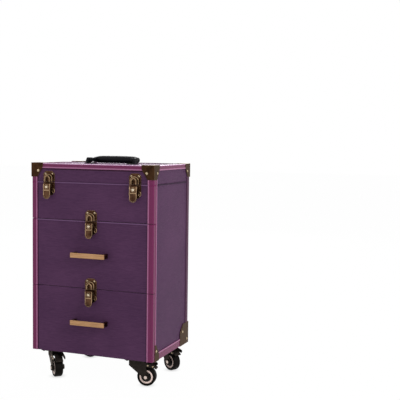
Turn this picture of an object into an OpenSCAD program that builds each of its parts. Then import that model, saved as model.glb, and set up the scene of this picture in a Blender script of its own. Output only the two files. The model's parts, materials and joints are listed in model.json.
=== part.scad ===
// Rolling makeup train case: lidded top tier, two drawers, pull-out trolley handle, four swivel casters.
// Frame: millimetres, +Z up, front towards -Y, origin on the floor under the middle of the case.

/* [Body] */
// Width over the edge trims
body_w = 360; // [330:1:420]
// Depth over the edge trims
body_d = 250; // [225:1:320]
// Height of the lower drawer front
lower_drawer_h = 179.5; // [150:0.5:240]
// Height of the upper drawer front
upper_drawer_h = 181; // [150:0.5:240]
// Height of the fixed tier above the drawers
tier_h = 100.5; // [80:0.5:160]
// Height of the lid
lid_h = 49; // [44:0.5:80]
// Gap between two fronts that open past each other
seam_gap = 1.2; // [0.8:0.1:2]
// Gap under the closed lid
lid_gap = 0.3; // [0.2:0.05:0.6]

/* [Boards] */
// Thickness of the side boards
side_t = 9; // [6:0.5:14]
// Thickness of the tier front, and room for the drawer fronts
front_t = 12; // [9:0.5:18]
// Gap behind a closed drawer front
front_gap = 0.6; // [0.3:0.1:1.5]
// Thickness of the back board
back_t = 8; // [6:0.5:12]
// Thickness of the bottom board
bottom_t = 12; // [8:0.5:18]
// Thickness of the shelf between the drawers
divider_t = 6; // [4:0.5:12]
// Thickness of the floor of the top tier
tier_floor_t = 9; // [6:0.5:14]
// Thickness of the lid's walls
lid_wall_t = 9; // [6:0.5:14]
// Thickness of the lid's top
lid_top_t = 8; // [5:0.5:12]
// Thickness of the padded lining
lining_t = 1.5; // [1:0.1:3]

/* [Edge trims] */
// Thickness of the trims
trim_t = 1.5; // [1:0.1:2.5]
// Width of a trim's flange on the front and the back
trim_front_w = 17; // [14:0.5:22]
// Width of a trim's flange on the sides
trim_side_w = 20; // [15:0.5:26]
// Height of the trim along the lid's top edges
lid_trim_h = 13; // [10:0.5:18]
// Height of the trim along the bottom edges
base_trim_h = 19; // [14:0.5:26]
// Width of the raised lip on a trim
lip_w = 3.6; // [2.5:0.1:5]
// How far a lip stands above its trim
lip_rise = 0.8; // [0.4:0.1:1.2]
// Rounding of the upright outer edges
edge_r = 4; // [2:0.5:6]
// Height of the bright strip at a seam
seam_strip_h = 3; // [2:0.25:5]

/* [Brass corners] */
// Thickness of the corner plates
corner_t = 1.2; // [0.8:0.1:2]
// Reach of a lid corner along the top edges
corner_w = 36; // [28:1:44]
// Reach of a lid corner down the upright edge
corner_h = 38; // [30:1:42]
// Width of a lid corner's lower end
corner_foot_w = 19; // [14:1:26]
// Height of a lid corner's full-width band
corner_band = 11; // [6:1:16]
// Length of a rear bottom corner along the side
rear_corner_w = 62; // [45:1:80]
// Height of a rear bottom corner
rear_corner_h = 58; // [40:1:75]
// Size of the cut across a rear bottom corner
rear_corner_cut = 22; // [10:1:30]
// Reach of a rear bottom corner round the back and under the case
rear_corner_wrap = 17; // [12:1:20]
// Length of a front bottom corner along the side
front_corner_w = 28; // [20:1:40]
// Height of a front bottom corner
front_corner_h = 42; // [28:1:60]
// Head radius of the corner rivets
rivet_r = 3; // [2:0.25:4]
// Head height of the corner rivets
rivet_h = 1.5; // [0.8:0.1:2]
// Distance of a lid corner's rivet from both edges
rivet_inset = 20; // [12:0.5:24]

/* [Drawers] */
// Travel of each drawer
drawer_travel = 150; // [120:1:160]
// Gap between a drawer box and the back board
drawer_rear_gap = 22.6; // [12:0.1:40]
// Thickness of a drawer box's walls
drawer_wall_t = 8; // [5:0.5:12]
// Thickness of a drawer box's bottom
drawer_bottom_t = 5; // [3:0.5:9]
// Room above and below a drawer box
drawer_head_gap = 9; // [5:0.5:20]
// Height of a drawer runner
runner_h = 27; // [20:1:35]
// Depth of a runner's channel
runner_d = 8; // [6:0.5:12]
// Wall of a runner's channel
runner_wall = 1.2; // [0.8:0.1:2]
// Running gap inside a runner
runner_clear = 0.3; // [0.2:0.05:0.6]
// Gap between a runner's channel and the drawer box
runner_side_gap = 3; // [1:0.25:6]
// Length of runner that stays engaged with the drawer pulled out
runner_hold = 50; // [40:1:60]

/* [Pulls] */
// Length of a drawer pull
pull_l = 99; // [70:1:140]
// Height of a drawer pull
pull_h = 12; // [8:0.5:18]
// How far a pull stands out
pull_d = 24; // [18:0.5:32]
// Thickness of the pull's bar
pull_bar_t = 6; // [4:0.5:9]
// Width of the pull's legs
pull_leg_w = 8; // [5:0.5:12]

/* [Latches] */
// Distance of a lid latch from the side of the case
lid_latch_in = 53; // [45:1:85]
// Width of a latch plate
latch_plate_w = 34; // [30:0.5:42]
// Thickness of a latch plate
latch_plate_t = 1.5; // [1:0.1:2.5]
// Height of the catch plate above the seam
catch_h = 28; // [24:0.5:34]
// Height of the latch base below the seam
latch_base_h = 36; // [30:0.5:40]
// Distance of the latch plates from the seam
latch_seam_gap = 1; // [0.6:0.1:2]
// Size of the cut corners of the latch plates
latch_chamfer = 7; // [4:0.5:10]
// Radius of the catch's outer arch
arch_outer_r = 12.5; // [11:0.25:14]
// Radius of the catch's raised arch
arch_inner_r = 9.5; // [8:0.25:11]
// Radius of the hollow under the arch
arch_hollow_r = 5.5; // [4:0.25:7]
// Height of the arches' straight part above the seam
arch_leg_h = 7; // [4:0.25:9]
// How far the outer arch stands out
arch_outer_d = 6; // [4:0.25:9]
// How far the raised arch stands out
arch_inner_d = 11; // [9:0.25:14]
// Width of the lever
lever_w = 21; // [18:0.25:24]
// Wall of the lever
lever_t = 1.5; // [1:0.1:2]
// Distance of the lever's pin from the panel
lever_pin_out = 8; // [7:0.1:10]
// Distance of the lever's pin below the seam
lever_pin_down = 9; // [8:0.1:12]
// Radius of the lever's rounded head
lever_head_r = 6.2; // [5:0.1:6.5]
// Distance from the seam to the bottom of the finger tab
lever_reach = 46; // [40:0.5:52]
// Distance from the seam to the bottom of the lever's side walls
lever_wall_reach = 31; // [26:0.5:34]
// Radius of the lever's pin
lever_pin_r = 1.5; // [1.2:0.05:2]
// Thickness of the cheeks that hold the lever
cheek_t = 1.5; // [1:0.1:2.5]
// Gap between the lever and each cheek
cheek_gap = 0.3; // [0.2:0.05:0.6]
// Running clearance on small pins
pin_clear = 0.06; // [0.02:0.01:0.1]
// Head radius of the latch screws
latch_screw_r = 2.8; // [2:0.1:3.5]

/* [Key cylinders] */
// Radius of a lock plug
plug_r = 3.8; // [3:0.1:4.2]
// Distance of the lock plug below the seam
plug_down = 13.5; // [13:0.1:15]
// Radius of the collar round the lock plug
plug_collar_r = 5.8; // [5:0.1:6.5]
// How far the collar stands above the lever
plug_collar_rise = 0.9; // [0.5:0.1:1.5]
// Length of the lock plug
plug_l = 10.5; // [9:0.1:11.5]
// Width of the key slot
keyway_w = 1.2; // [0.8:0.1:1.6]

/* [Hinges] */
// Distance of a hinge's middle from the side of the case
hinge_in = 65; // [55:1:80]
// Width of a hinge
hinge_w = 52; // [40:1:60]
// Height of a hinge leaf
hinge_leaf_h = 20; // [15:0.5:26]
// Thickness of a hinge leaf
hinge_leaf_t = 1.5; // [1:0.1:2]
// Radius of a hinge knuckle
knuckle_r = 3.2; // [2.8:0.1:4]
// Radius of a hinge pin
hinge_pin_r = 1.6; // [1.2:0.1:2]
// Gap between two knuckles
knuckle_gap = 0.4; // [0.2:0.1:1]
// Clearance between a knuckle and the other leaf
knuckle_clear = 0.3; // [0.2:0.05:0.8]

/* [Carry handle] */
// Length over the carry handle's mounts
handle_l = 150; // [130:1:190]
// Place of the handle's pivot in front of or behind the middle
handle_y = -8; // [-40:1:20]
// Distance from the pivot to the middle of the grip
handle_reach = 34; // [30:1:45]
// Depth of the grip
grip_d = 24; // [20:0.5:30]
// Thickness of the grip
grip_t = 17; // [14:0.5:18]
// Height of the handle's pivot above the lid
handle_pin_up = 11; // [10:0.25:14]
// Radius of the handle's pin
handle_pin_r = 3; // [2:0.1:4]
// Width of the handle's arms
handle_arm_w = 9; // [7:0.5:12]
// Width of the mounts' ears
handle_ear_w = 7; // [5:0.5:10]
// Thickness of the mounts' feet
handle_foot_t = 2.5; // [2:0.25:4]
// Depth of the mounts' feet
handle_foot_d = 32; // [26:1:40]

/* [Trolley] */
// Distance of each trolley tube from the middle
tube_x = 68.5; // [55:0.5:80]
// Distance of the tubes' middle behind the back of the case
tube_y = 15; // [14:0.5:18]
// Width of the middle tube
tube1_w = 21; // [19:0.25:24]
// Depth of the middle tube
tube1_d = 15; // [13.5:0.25:17]
// Wall of the tubes
tube_wall = 1.6; // [1:0.1:2]
// Gap between two tubes
tube_gap = 0.3; // [0.2:0.05:0.5]
// Corner rounding of the middle tube
tube_r = 4; // [3:0.25:5]
// Height of the tube mouths above the bottom of the case
tube_mouth = 420; // [380:1:424]
// Travel of each tube stage
stage_travel = 233; // [180:1:240]
// Length of the middle tubes that stays inside the outer ones
tube1_hold = 160; // [120:1:165]
// Length of the inner tubes that stays inside the middle ones
tube2_hold = 153; // [110:1:160]
// Height of the collar on the middle tubes
collar_h = 5; // [3:0.5:8]
// Gap under a middle tube that is pushed right down
tube_step = 10; // [5:1:14]
// Width over the trolley grip
trolley_grip_w = 166; // [140:1:190]
// Depth of the trolley grip
trolley_grip_d = 25; // [20:0.5:26]
// Height of the trolley grip's bar at its middle
trolley_grip_h = 20; // [16:0.5:24]
// Height of the grip's sleeves over the tubes
grip_sleeve_h = 30; // [25:0.5:32]
// Length of the push button
button_l = 46; // [30:1:60]
// Depth of the push button
button_d = 12; // [8:0.5:16]
// Travel of the push button
button_travel = 3; // [2:0.5:4]
// Radius of the release rods inside the tubes
rod_r = 1.5; // [1:0.1:2]
// Height of the brackets at the tube mouths
mouth_h = 24; // [18:1:34]
// Height of the brackets at the tubes' feet
foot_h = 34; // [24:1:50]
// Wall of the brackets
bracket_wall = 3; // [2:0.25:4]

/* [Casters] */
// Height of a caster, floor to case
caster_h = 72; // [68:0.5:80]
// Distance of the front casters' kingpins from the sides of the case
caster_front_in = 54; // [48:1:75]
// Distance of the rear casters' kingpins from the sides of the case
caster_rear_in = 46; // [46:1:75]
// Distance of the front casters' kingpins from the front of the case
caster_front_y = 31; // [30:1:50]
// Distance of the rear casters' kingpins from the back of the case
caster_rear_y = 45; // [32:1:50]
// Turn of each caster at rest: front right, front left, rear right, rear left
caster_turn = [10, -46, -28, 62]; // [-180:1:180]
// Radius of the wheels
wheel_r = 25; // [22:0.5:26]
// Width of the wheels
wheel_w = 22; // [18:0.5:24]
// Trail of the wheels behind the kingpin
caster_trail = 24; // [21:0.5:27]
// Radius of the axles
axle_r = 4; // [3:0.25:5]
// Thickness of the fork's legs
fork_t = 2.5; // [2:0.25:3.5]
// Gap between the wheel and each leg
fork_gap = 1.2; // [0.6:0.1:2]
// Radius of the fork's head
fork_head_r = 19; // [17:0.5:19.5]
// Width of the caster plates
caster_plate_w = 56; // [54:1:57]
// Depth of the caster plates
caster_plate_d = 52; // [50:1:56]
// Thickness of the caster plates
caster_plate_t = 2.5; // [2:0.25:4]
// Radius of the kingpins
kingpin_r = 5; // [4:0.25:6]
// Running gap at the kingpins
swivel_gap = 0.3; // [0.2:0.05:0.6]
// Length of the brake pedals
brake_l = 37; // [32:0.5:40]

/* [Hidden] */
$fn = 48;
// How far a cutting shape passes the face it cuts
cut = 1;
notch_gap = 0.2;
lining_inset = 1;
screw_head_h = 1.2;

base_z = caster_h;
lower_seam_z = base_z + lower_drawer_h;
upper_seam_z = lower_seam_z + upper_drawer_h;
lid_seam_z = upper_seam_z + tier_h;
top_z = lid_seam_z + lid_h;
case_top_z = lid_seam_z - lid_gap / 2;
lid_low_z = lid_seam_z + lid_gap / 2;
lid_board_top = top_z - trim_t;

half_w = body_w / 2;
half_d = body_d / 2;
board_x = half_w - trim_t;
board_y = half_d - trim_t;
inner_x = board_x - side_t;
cabinet_front_y = -board_y + front_t;
cabinet_back_y = board_y - back_t;
drawer_front_t = front_t - front_gap;
drawer_back_y = -board_y + drawer_front_t;

drawer_box_d = cabinet_back_y - drawer_rear_gap - drawer_back_y;

divider_low = lower_seam_z - divider_t / 2;
tier_floor_low = upper_seam_z + seam_gap / 2;
tier_floor_top = tier_floor_low + tier_floor_t;

// Runner profile: the channel is on the side board, the bar is on the drawer box
runner_bar_h = runner_h - 2 * runner_wall - 2 * runner_clear;
drawer_box_x = inner_x - runner_d - runner_side_gap;
runner_lip = 5;
runner_inset = 1;
upper_runner_z = (lower_seam_z + upper_seam_z) / 2;
lower_runner_z = (base_z + bottom_t + lower_seam_z) / 2;
runner_l = drawer_travel + runner_hold;
runner_bar_web = runner_h - 2 * runner_wall - 2 * runner_lip - 2 * runner_clear;

// Lever head and key plug, measured out from the panel
lever_face_out = lever_pin_out + lever_head_r;
plug_proud = 0.3;
plug_face_out = lever_face_out + plug_collar_rise + plug_proud;
plug_bore_r = plug_r + pin_clear;
plug_cam_t = 1;
plug_cam_rim = 0.6;
plug_sleeve_short = 4;
cheek_in = lever_w / 2 + cheek_gap;
cheek_rim = 2.2;
tab_rim_w = 2;
ridge_h = 2.5;
ridge_rise = 1;
catch_screw_in = 6.5;
front_corner_rivet_z = front_corner_h * 0.6;
base_screw_in = 3.2;
base_screw_r = latch_screw_r - 0.4;

lid_latch_x = half_w - lid_latch_in;
hinge_x = half_w - hinge_in;
hinge_axis_y = board_y + hinge_leaf_t + knuckle_clear + knuckle_r;
knuckle_l = hinge_w / 5;
hinge_head_gap = 0.5;
hinge_head_t = 1;
hinge_screw_z = hinge_leaf_h * 0.65;

handle_pin_z = lid_board_top + handle_pin_up;
handle_ear_in = handle_l / 2 - handle_ear_w;
handle_ear_gap = 0.3;
handle_pin_short = 0.5;
handle_arm_out = handle_ear_in - handle_ear_gap;
handle_foot_w = 16;
handle_screw_r = 2.6;
grip_end_r = 6;
arm_eye_rim = 3;
ear_eye_rim = 3;

tube_cy = half_d + tube_y;
tube0_w = tube1_w + 2 * tube_gap + 2 * tube_wall;
tube0_d = tube1_d + 2 * tube_gap + 2 * tube_wall;
tube2_w = tube1_w - 2 * tube_wall - 2 * tube_gap;
tube2_d = tube1_d - 2 * tube_wall - 2 * tube_gap;
tube_mouth_z = base_z + tube_mouth;
tube1_low = tube_mouth_z - stage_travel - tube1_hold;
tube0_low = tube1_low - tube_step;
collar_top_z = tube_mouth_z + tube_gap + collar_h;
tube2_low = collar_top_z - stage_travel - tube2_hold;
collar_rim = 2;
detent_r = 2;
detent_down = 45;
grip_low_z = collar_top_z + tube_gap;
grip_socket = 12;
grip_corner_r = 9;
grip_arc_rise = 5;
bracket_ear = 12;
bracket_inset = 3;
grip_bar_low = grip_low_z + grip_sleeve_h - trolley_grip_h;
trolley_top_z = grip_low_z + grip_sleeve_h;
button_h = 6.5;
button_gap = 0.3;
rod_gap = 1;
rod_bore_r = rod_r + 1.4;
release_bar_h = 3;
release_bar_y = rod_r + 0.5;
button_low_z = trolley_top_z - 5;

axle_z = wheel_r;
caster_plate_low = base_z - caster_plate_t;
fork_top_z = caster_plate_low - swivel_gap;
fork_crown_z = wheel_r * 2 + 5;
kingpin_head_t = 3;
kingpin_head_rim = 3;
plate_screw_in = 5;
plate_screw_r = 3.2;
plate_screw_h = 1.6;
axle_head_t = 3;
axle_nut_t = 4;
axle_head_rim = 3;
leg_eye_rim = 5;
leg_step = 5;
tread_step = 2;
hub_rim = 4;
hub_recess = 2;
rim_w = 7;
leg_in = wheel_w / 2 + fork_gap;
leg_out = leg_in + fork_t;
brake_pin_x = caster_trail - 8;
brake_pin_z = fork_crown_z + 5;
brake_pin_r = 2;
brake_eye_r = 4;
brake_drop = 14;
brake_bend = 13;
brake_tip_h = 3;
brake_t = 3.5;
brake_side_gap = 1;
brake_pocket_gap = 1;

caster_spots = [
    [half_w - caster_front_in, -half_d + caster_front_y], [-half_w + caster_front_in, -half_d + caster_front_y],
    [half_w - caster_rear_in, half_d - caster_rear_y], [-half_w + caster_rear_in, half_d - caster_rear_y]
];

// ---------- shared shapes ----------

// Rectangle centred on the origin, with round corners
module rounded_square(w, h, r) {
    square([w - 2 * r, h], center = true);
    square([w, h - 2 * r], center = true);
    for (sx = [-1, 1], sy = [-1, 1]) {
        translate([sx * (w / 2 - r), sy * (h / 2 - r)]) circle(r);
    }
}

// Box given by its lowest and highest corners
module box(low, high) {
    translate(low) cube(high - low);
}

module both_sides() {
    children();
    mirror([1, 0, 0]) children();
}

module each_hinge() {
    for (x = [-hinge_x, hinge_x]) translate([x, 0, 0]) children();
}

// Outline drawn in X and Z, standing out t towards the front
module facing(t) {
    rotate([90, 0, 0]) linear_extrude(t) children();
}

// Outline drawn in Y and Z, t thick along X from the origin
module across(t) {
    rotate([90, 0, 90]) linear_extrude(t) children();
}

module rod(r, l) {
    rotate([0, 90, 0]) cylinder(r = r, h = l);
}

// Domed rivet or screw head standing on the XY plane
module dome(r, h) {
    ball = (r * r + h * h) / (2 * h);
    intersection() {
        translate([0, 0, h - ball]) sphere(ball);
        cylinder(r = r, h = h);
    }
}

module front_dome(r, h) {
    rotate([90, 0, 0]) dome(r, h);
}

module side_dome(r, h) {
    rotate([0, 90, 0]) dome(r, h);
}

module tube(w, d, r, wall, l) {
    linear_extrude(l) difference() {
        rounded_square(w, d, r);
        rounded_square(w - 2 * wall, d - 2 * wall, r - wall);
    }
}

// Upright edge trim on the corner towards +X and -Y: front and side flanges with raised lips
module edge_outline(side_w) {
    difference() {
        union() {
            translate([half_w - edge_r, -half_d + edge_r]) circle(edge_r);
            translate([half_w - trim_front_w, -half_d]) square([trim_front_w - edge_r, trim_t]);
            translate([board_x, -half_d + edge_r]) square([trim_t, side_w - edge_r]);
            translate([half_w - trim_front_w, -half_d - lip_rise]) square([lip_w, trim_t + lip_rise]);
            translate([board_x, -half_d + side_w - lip_w]) square([trim_t + lip_rise, lip_w]);
        }
        translate([board_x - body_w, -board_y]) square([body_w, body_d]);
    }
}

module edge_trim(low, high, side_w = trim_side_w) {
    translate([0, 0, low]) linear_extrude(high - low) edge_outline(side_w);
}

module front_to_back() {
    mirror([0, 1, 0]) children();
}

// ---------- case ----------

module side_panels() {
    color("#6b4a5e") both_sides() {
        box([inner_x, cabinet_front_y, base_z], [board_x, board_y, case_top_z]);
    }
}

module back_panel() {
    color("#4c3450") box([-inner_x, cabinet_back_y, base_z], [inner_x, board_y, case_top_z]);
}

module bottom_panel() {
    color("#4c3450") {
        box([-inner_x, cabinet_front_y, base_z], [inner_x, cabinet_back_y, base_z + bottom_t]);
    }
}

// The board between the drawers and the floor of the top tier
module shelves() {
    color("#4c3450") {
        box([-inner_x, cabinet_front_y, divider_low], [inner_x, cabinet_back_y, divider_low + divider_t]);
        box([-inner_x, cabinet_front_y, tier_floor_low], [inner_x, cabinet_back_y, tier_floor_top]);
    }
}

module tier_front() {
    color("#4c3450") box([-board_x, -board_y, tier_floor_low], [board_x, cabinet_front_y, case_top_z]);
}

// Strip across the front along a seam, with room for the latches at latch_xs
module seam_strip(high, latch_xs) {
    difference() {
        box([-half_w + trim_front_w, -half_d, high - seam_strip_h], [half_w - trim_front_w, -board_y, high]);
        for (x = latch_xs) {
            box([x - latch_plate_w / 2 - notch_gap, -body_d, high - seam_strip_h - cut],
                [x + latch_plate_w / 2 + notch_gap, 0, high + cut]);
        }
    }
}

module case_trims() {
    color("#6a3356") difference() {
        case_trim_bands();
        base_corner_plates();
    }
}

module case_trim_bands() {
    base_low = base_z - trim_t;
    union() {
        both_sides() {
            edge_trim(tier_floor_low, case_top_z);
            intersection() {
                edge_trim(base_low, tier_floor_low);
                box([0, cabinet_front_y, 0], [body_w, body_d, tier_floor_low]);
            }
            front_to_back() edge_trim(base_low, case_top_z);
            // Along the bottom of the side
            box([board_x, cabinet_front_y, base_low], [half_w, half_d - edge_r, base_z + base_trim_h]);
            box([board_x, cabinet_front_y, base_z + base_trim_h - lip_w],
                [half_w + lip_rise, half_d - trim_side_w, base_z + base_trim_h]);
            box([board_x - side_t, cabinet_front_y, base_low], [board_x, half_d - edge_r, base_z]);
            // Along the side of the seam
            box([board_x, -half_d + trim_side_w, case_top_z - seam_strip_h],
                [half_w, half_d - trim_side_w, case_top_z]);
        }
        seam_strip(case_top_z, [-lid_latch_x, lid_latch_x]);
        // Across the bottom of the back
        box([-half_w + trim_front_w, board_y, base_low],
            [half_w - trim_front_w, half_d, base_z + base_trim_h]);
    }
}

// Plates of one rear bottom corner on the side, the back and the underside
module rear_corner() {
    low = base_z - trim_t - corner_t;
    side_low_y = half_d + corner_t - rear_corner_w;
    high = base_z + rear_corner_h;
    translate([half_w, 0, 0]) across(corner_t) polygon([
        [side_low_y, low], [side_low_y, high - rear_corner_cut], [side_low_y + rear_corner_cut, high],
        [half_d + corner_t, high], [half_d + corner_t, low]
    ]);
    box([half_w - rear_corner_wrap, half_d, low], [half_w + corner_t, half_d + corner_t, high]);
    box([half_w - rear_corner_wrap, side_low_y, low],
        [half_w + corner_t, half_d + corner_t, base_z - trim_t]);
}

module front_corner() {
    low = base_z - trim_t - corner_t;
    high = base_z + front_corner_h;
    back_y = cabinet_front_y + front_corner_w;
    translate([half_w, 0, 0]) across(corner_t) polygon([
        [cabinet_front_y, low], [cabinet_front_y, high], [cabinet_front_y + front_corner_w / 3, high],
        [back_y, base_z + front_corner_h / 3], [back_y, low]
    ]);
    box([half_w - rear_corner_wrap, cabinet_front_y, low], [half_w + corner_t, back_y, base_z - trim_t]);
}

module base_corner_plates() {
    both_sides() {
        rear_corner();
        front_corner();
    }
}

module base_corners() {
    color("#5c4632") base_corner_plates();
}

module tier_lining() {
    color("#3a3036") difference() {
        box([-inner_x, cabinet_front_y, tier_floor_top],
            [inner_x, cabinet_back_y, case_top_z - lining_inset]);
        box([-inner_x + lining_t, cabinet_front_y + lining_t, tier_floor_top + lining_t],
            [inner_x - lining_t, cabinet_back_y - lining_t, case_top_z]);
    }
}

// ---------- drawer runners ----------

// Open channel on the side board towards +X
module runner_channel(z) {
    translate([inner_x, cabinet_front_y + runner_inset, z]) difference() {
        box([-runner_d, 0, -runner_h / 2], [0, runner_l, runner_h / 2]);
        box([-runner_d - cut, -cut, -runner_h / 2 + runner_wall + runner_lip],
            [-runner_wall, runner_l + cut, runner_h / 2 - runner_wall - runner_lip]);
        box([-runner_d + runner_wall, -cut, -runner_h / 2 + runner_wall],
            [-runner_wall, runner_l + cut, runner_h / 2 - runner_wall]);
    }
}

// Bar on the drawer box, with a foot that fills the channel
module runner_bar(z) {
    foot_in = runner_d - runner_wall - runner_clear;
    translate([inner_x, cabinet_front_y + runner_inset, z]) {
        box([-foot_in, 0, -runner_bar_h / 2], [-runner_wall - runner_clear, runner_l, runner_bar_h / 2]);
        box([-runner_d - runner_side_gap, 0, -runner_bar_web / 2], [-foot_in, runner_l, runner_bar_web / 2]);
    }
}

module case_runners() {
    color("#b9babd") both_sides() {
        runner_channel(upper_runner_z);
        runner_channel(lower_runner_z);
    }
}

// ---------- hinges ----------

// Two leaves meet at the seam; the case's knuckles are the outer and middle ones
module hinge_knuckles(rows, side) {
    for (i = rows) {
        x = -hinge_w / 2 + i * knuckle_l + knuckle_gap / 2;
        translate([x, hinge_axis_y, lid_seam_z]) difference() {
            union() {
                rod(knuckle_r, knuckle_l - knuckle_gap);
                box([0, board_y - hinge_axis_y, side > 0 ? lid_gap / 2 : -knuckle_r],
                    [knuckle_l - knuckle_gap, 0, side > 0 ? knuckle_r : -lid_gap / 2]);
            }
            translate([-cut, 0, 0]) rod(hinge_pin_r + pin_clear, knuckle_l + 2 * cut);
        }
    }
}

module hinge_leaf(side) {
    near = side > 0 ? lid_gap / 2 : -lid_gap / 2;
    far = side * hinge_leaf_h;
    box([-hinge_w / 2, board_y, lid_seam_z + min(near, far)],
        [hinge_w / 2, board_y + hinge_leaf_t, lid_seam_z + max(near, far)]);
}

module hinge_pin() {
    pin_l = hinge_w + 2 * hinge_head_gap;
    translate([-pin_l / 2, hinge_axis_y, lid_seam_z]) {
        rod(hinge_pin_r, pin_l);
        translate([-hinge_head_t, 0, 0]) rod(knuckle_r, hinge_head_t);
        translate([pin_l, 0, 0]) rod(knuckle_r, hinge_head_t);
    }
}

module lower_hinges() {
    color("#5c4632") each_hinge() {
        hinge_leaf(-1);
        hinge_knuckles([0, 2, 4], -1);
        hinge_pin();
    }
}

module upper_hinges() {
    color("#5c4632") each_hinge() {
        hinge_leaf(1);
        hinge_knuckles([1, 3], 1);
    }
}

// ---------- latches ----------

// Moves a latch drawn round its seam to a place on the front
module latch_at(x, seam_z) {
    translate([x, -board_y, seam_z]) children();
}

module catch() {
    w = latch_plate_w / 2;
    low = latch_seam_gap;
    facing(latch_plate_t) polygon([
        [-w, low], [w, low], [w, catch_h - latch_chamfer], [w - latch_chamfer, catch_h],
        [-w + latch_chamfer, catch_h], [-w, catch_h - latch_chamfer]
    ]);
    difference() {
        union() {
            arch(arch_outer_r, arch_outer_d);
            arch(arch_inner_r, arch_inner_d);
        }
        translate([0, -arch_outer_d, 0]) arch(arch_hollow_r, arch_inner_d);
        box([-w, -arch_inner_d - cut, -catch_h], [w, cut, low]);
    }
    for (x = [-1, 1]) {
        translate([x * (w - catch_screw_in), -latch_plate_t, catch_h - latch_chamfer]) {
            front_dome(latch_screw_r, screw_head_h);
        }
    }
}

module arch(r, d) {
    facing(d) {
        translate([0, arch_leg_h]) circle(r);
        translate([-r, 0]) square([2 * r, arch_leg_h]);
    }
}

module latch_base() {
    w = latch_plate_w / 2;
    high = -latch_seam_gap;
    slant_z = -latch_base_h + latch_chamfer + 3;
    facing(latch_plate_t) polygon([
        [-w, high], [w, high], [w, slant_z], [w - latch_chamfer, -latch_base_h],
        [-w + latch_chamfer, -latch_base_h], [-w, slant_z]
    ]);
    both_sides() {
        translate([cheek_in, 0, 0]) across(cheek_t) cheek_outline();
        translate([lever_w / 2 - lever_t - cheek_gap, -lever_pin_out, -lever_pin_down]) {
            rod(lever_pin_r, 2 * cheek_gap + lever_t + cheek_t / 2);
        }
        translate([w - base_screw_in, -latch_plate_t, slant_z]) front_dome(base_screw_r, ridge_rise);
    }
}

module cheek_outline() {
    eye_r = lever_pin_r + cheek_rim;
    high_z = -lever_pin_down + 6;
    low_z = -latch_base_h + 9;
    translate([-lever_pin_out, -lever_pin_down]) circle(eye_r);
    polygon([
        [0, high_z], [-lever_pin_out, -lever_pin_down + eye_r], [-lever_pin_out, -lever_pin_down - eye_r],
        [-latch_plate_t, low_z], [0, low_z]
    ]);
}

// Covering lever with a rounded head at its pin and a finger tab at its lower end
module lever() {
    w = lever_w / 2;
    face = -lever_face_out;
    tab_z = -lever_reach + w;
    ridge_top_z = -plug_down - plug_collar_r - 2;
    difference() {
        union() {
            both_sides() translate([w - lever_t, 0, 0]) across(lever_t) lever_wall_outline();
            translate([-w, -lever_pin_out, -lever_pin_down]) intersection() {
                difference() {
                    rod(lever_head_r, lever_w);
                    translate([-cut, 0, 0]) rod(lever_head_r - lever_t, lever_w + 2 * cut);
                }
                box([-cut, -lever_head_r - cut, 0], [lever_w + cut, 2, lever_head_r + cut]);
            }
            box([-w, face, tab_z], [w, face + lever_t, -lever_pin_down]);
            translate([0, face + lever_t, 0]) facing(lever_t) translate([0, tab_z]) circle(w);
            // Rim of the finger tab and the ridge above it
            translate([0, face + lever_t, 0]) facing(lever_t + ridge_rise) difference() {
                translate([0, tab_z]) circle(w);
                translate([0, tab_z]) circle(w - tab_rim_w);
                translate([-w, tab_z]) square([lever_w, lever_w]);
            }
            box([-w + 1, face - ridge_rise, ridge_top_z - ridge_h], [w - 1, face, ridge_top_z]);
            translate([0, face + lever_t, -plug_down]) {
                facing(lever_t + plug_collar_rise) circle(plug_collar_r);
            }
            translate([0, face + plug_l - plug_sleeve_short, -plug_down]) {
                facing(plug_l - plug_sleeve_short) circle(plug_bore_r + lever_t);
            }
        }
        translate([0, cut, -plug_down]) {
            facing(lever_face_out + plug_collar_rise + 2 * cut) circle(plug_bore_r);
        }
        translate([-w - cut, -lever_pin_out, -lever_pin_down]) {
            rod(lever_pin_r + pin_clear, lever_w + 2 * cut);
        }
    }
}

module lever_wall_outline() {
    inner_out = -lever_pin_out + lever_head_r - lever_t;
    translate([-lever_pin_out, -lever_pin_down]) circle(lever_head_r);
    polygon([
        [-lever_face_out, -lever_pin_down], [inner_out, -lever_pin_down], [inner_out, -lever_wall_reach + 9],
        [-lever_face_out + lever_t, -lever_wall_reach], [-lever_face_out, -lever_wall_reach]
    ]);
}

// Lock plug with a key slot in its face and a cam behind the lever
module lock_plug() {
    back = plug_l - plug_face_out;
    difference() {
        translate([0, back, -plug_down]) facing(plug_l) circle(plug_r);
        box([-keyway_w / 2, -plug_face_out - cut, -plug_down - plug_r + 1],
            [keyway_w / 2, -plug_face_out + 2, -plug_down + plug_r - 1]);
    }
    translate([0, back + plug_cam_t, -plug_down]) facing(plug_cam_t) circle(plug_bore_r + plug_cam_rim);
}

module case_latch_plates() {
    color("#6b5238") {
        for (x = [-lid_latch_x, lid_latch_x]) latch_at(x, lid_seam_z) latch_base();
        latch_at(0, upper_seam_z) catch();
    }
}

module lid_catches() {
    color("#6b5238") for (x = [-lid_latch_x, lid_latch_x]) latch_at(x, lid_seam_z) catch();
}

module lid_lever_left() { color("#6b5238") latch_at(-lid_latch_x, lid_seam_z) lever(); }
module lid_lever_right() { color("#6b5238") latch_at(lid_latch_x, lid_seam_z) lever(); }
module upper_drawer_lever() { color("#6b5238") latch_at(0, upper_seam_z) lever(); }
module lower_drawer_lever() { color("#6b5238") latch_at(0, lower_seam_z) lever(); }
module lid_plug_left() { color("#d8cfc4") latch_at(-lid_latch_x, lid_seam_z) lock_plug(); }
module lid_plug_right() { color("#d8cfc4") latch_at(lid_latch_x, lid_seam_z) lock_plug(); }
module upper_drawer_plug() { color("#d8cfc4") latch_at(0, upper_seam_z) lock_plug(); }
module lower_drawer_plug() { color("#d8cfc4") latch_at(0, lower_seam_z) lock_plug(); }

// ---------- drawers ----------

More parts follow.
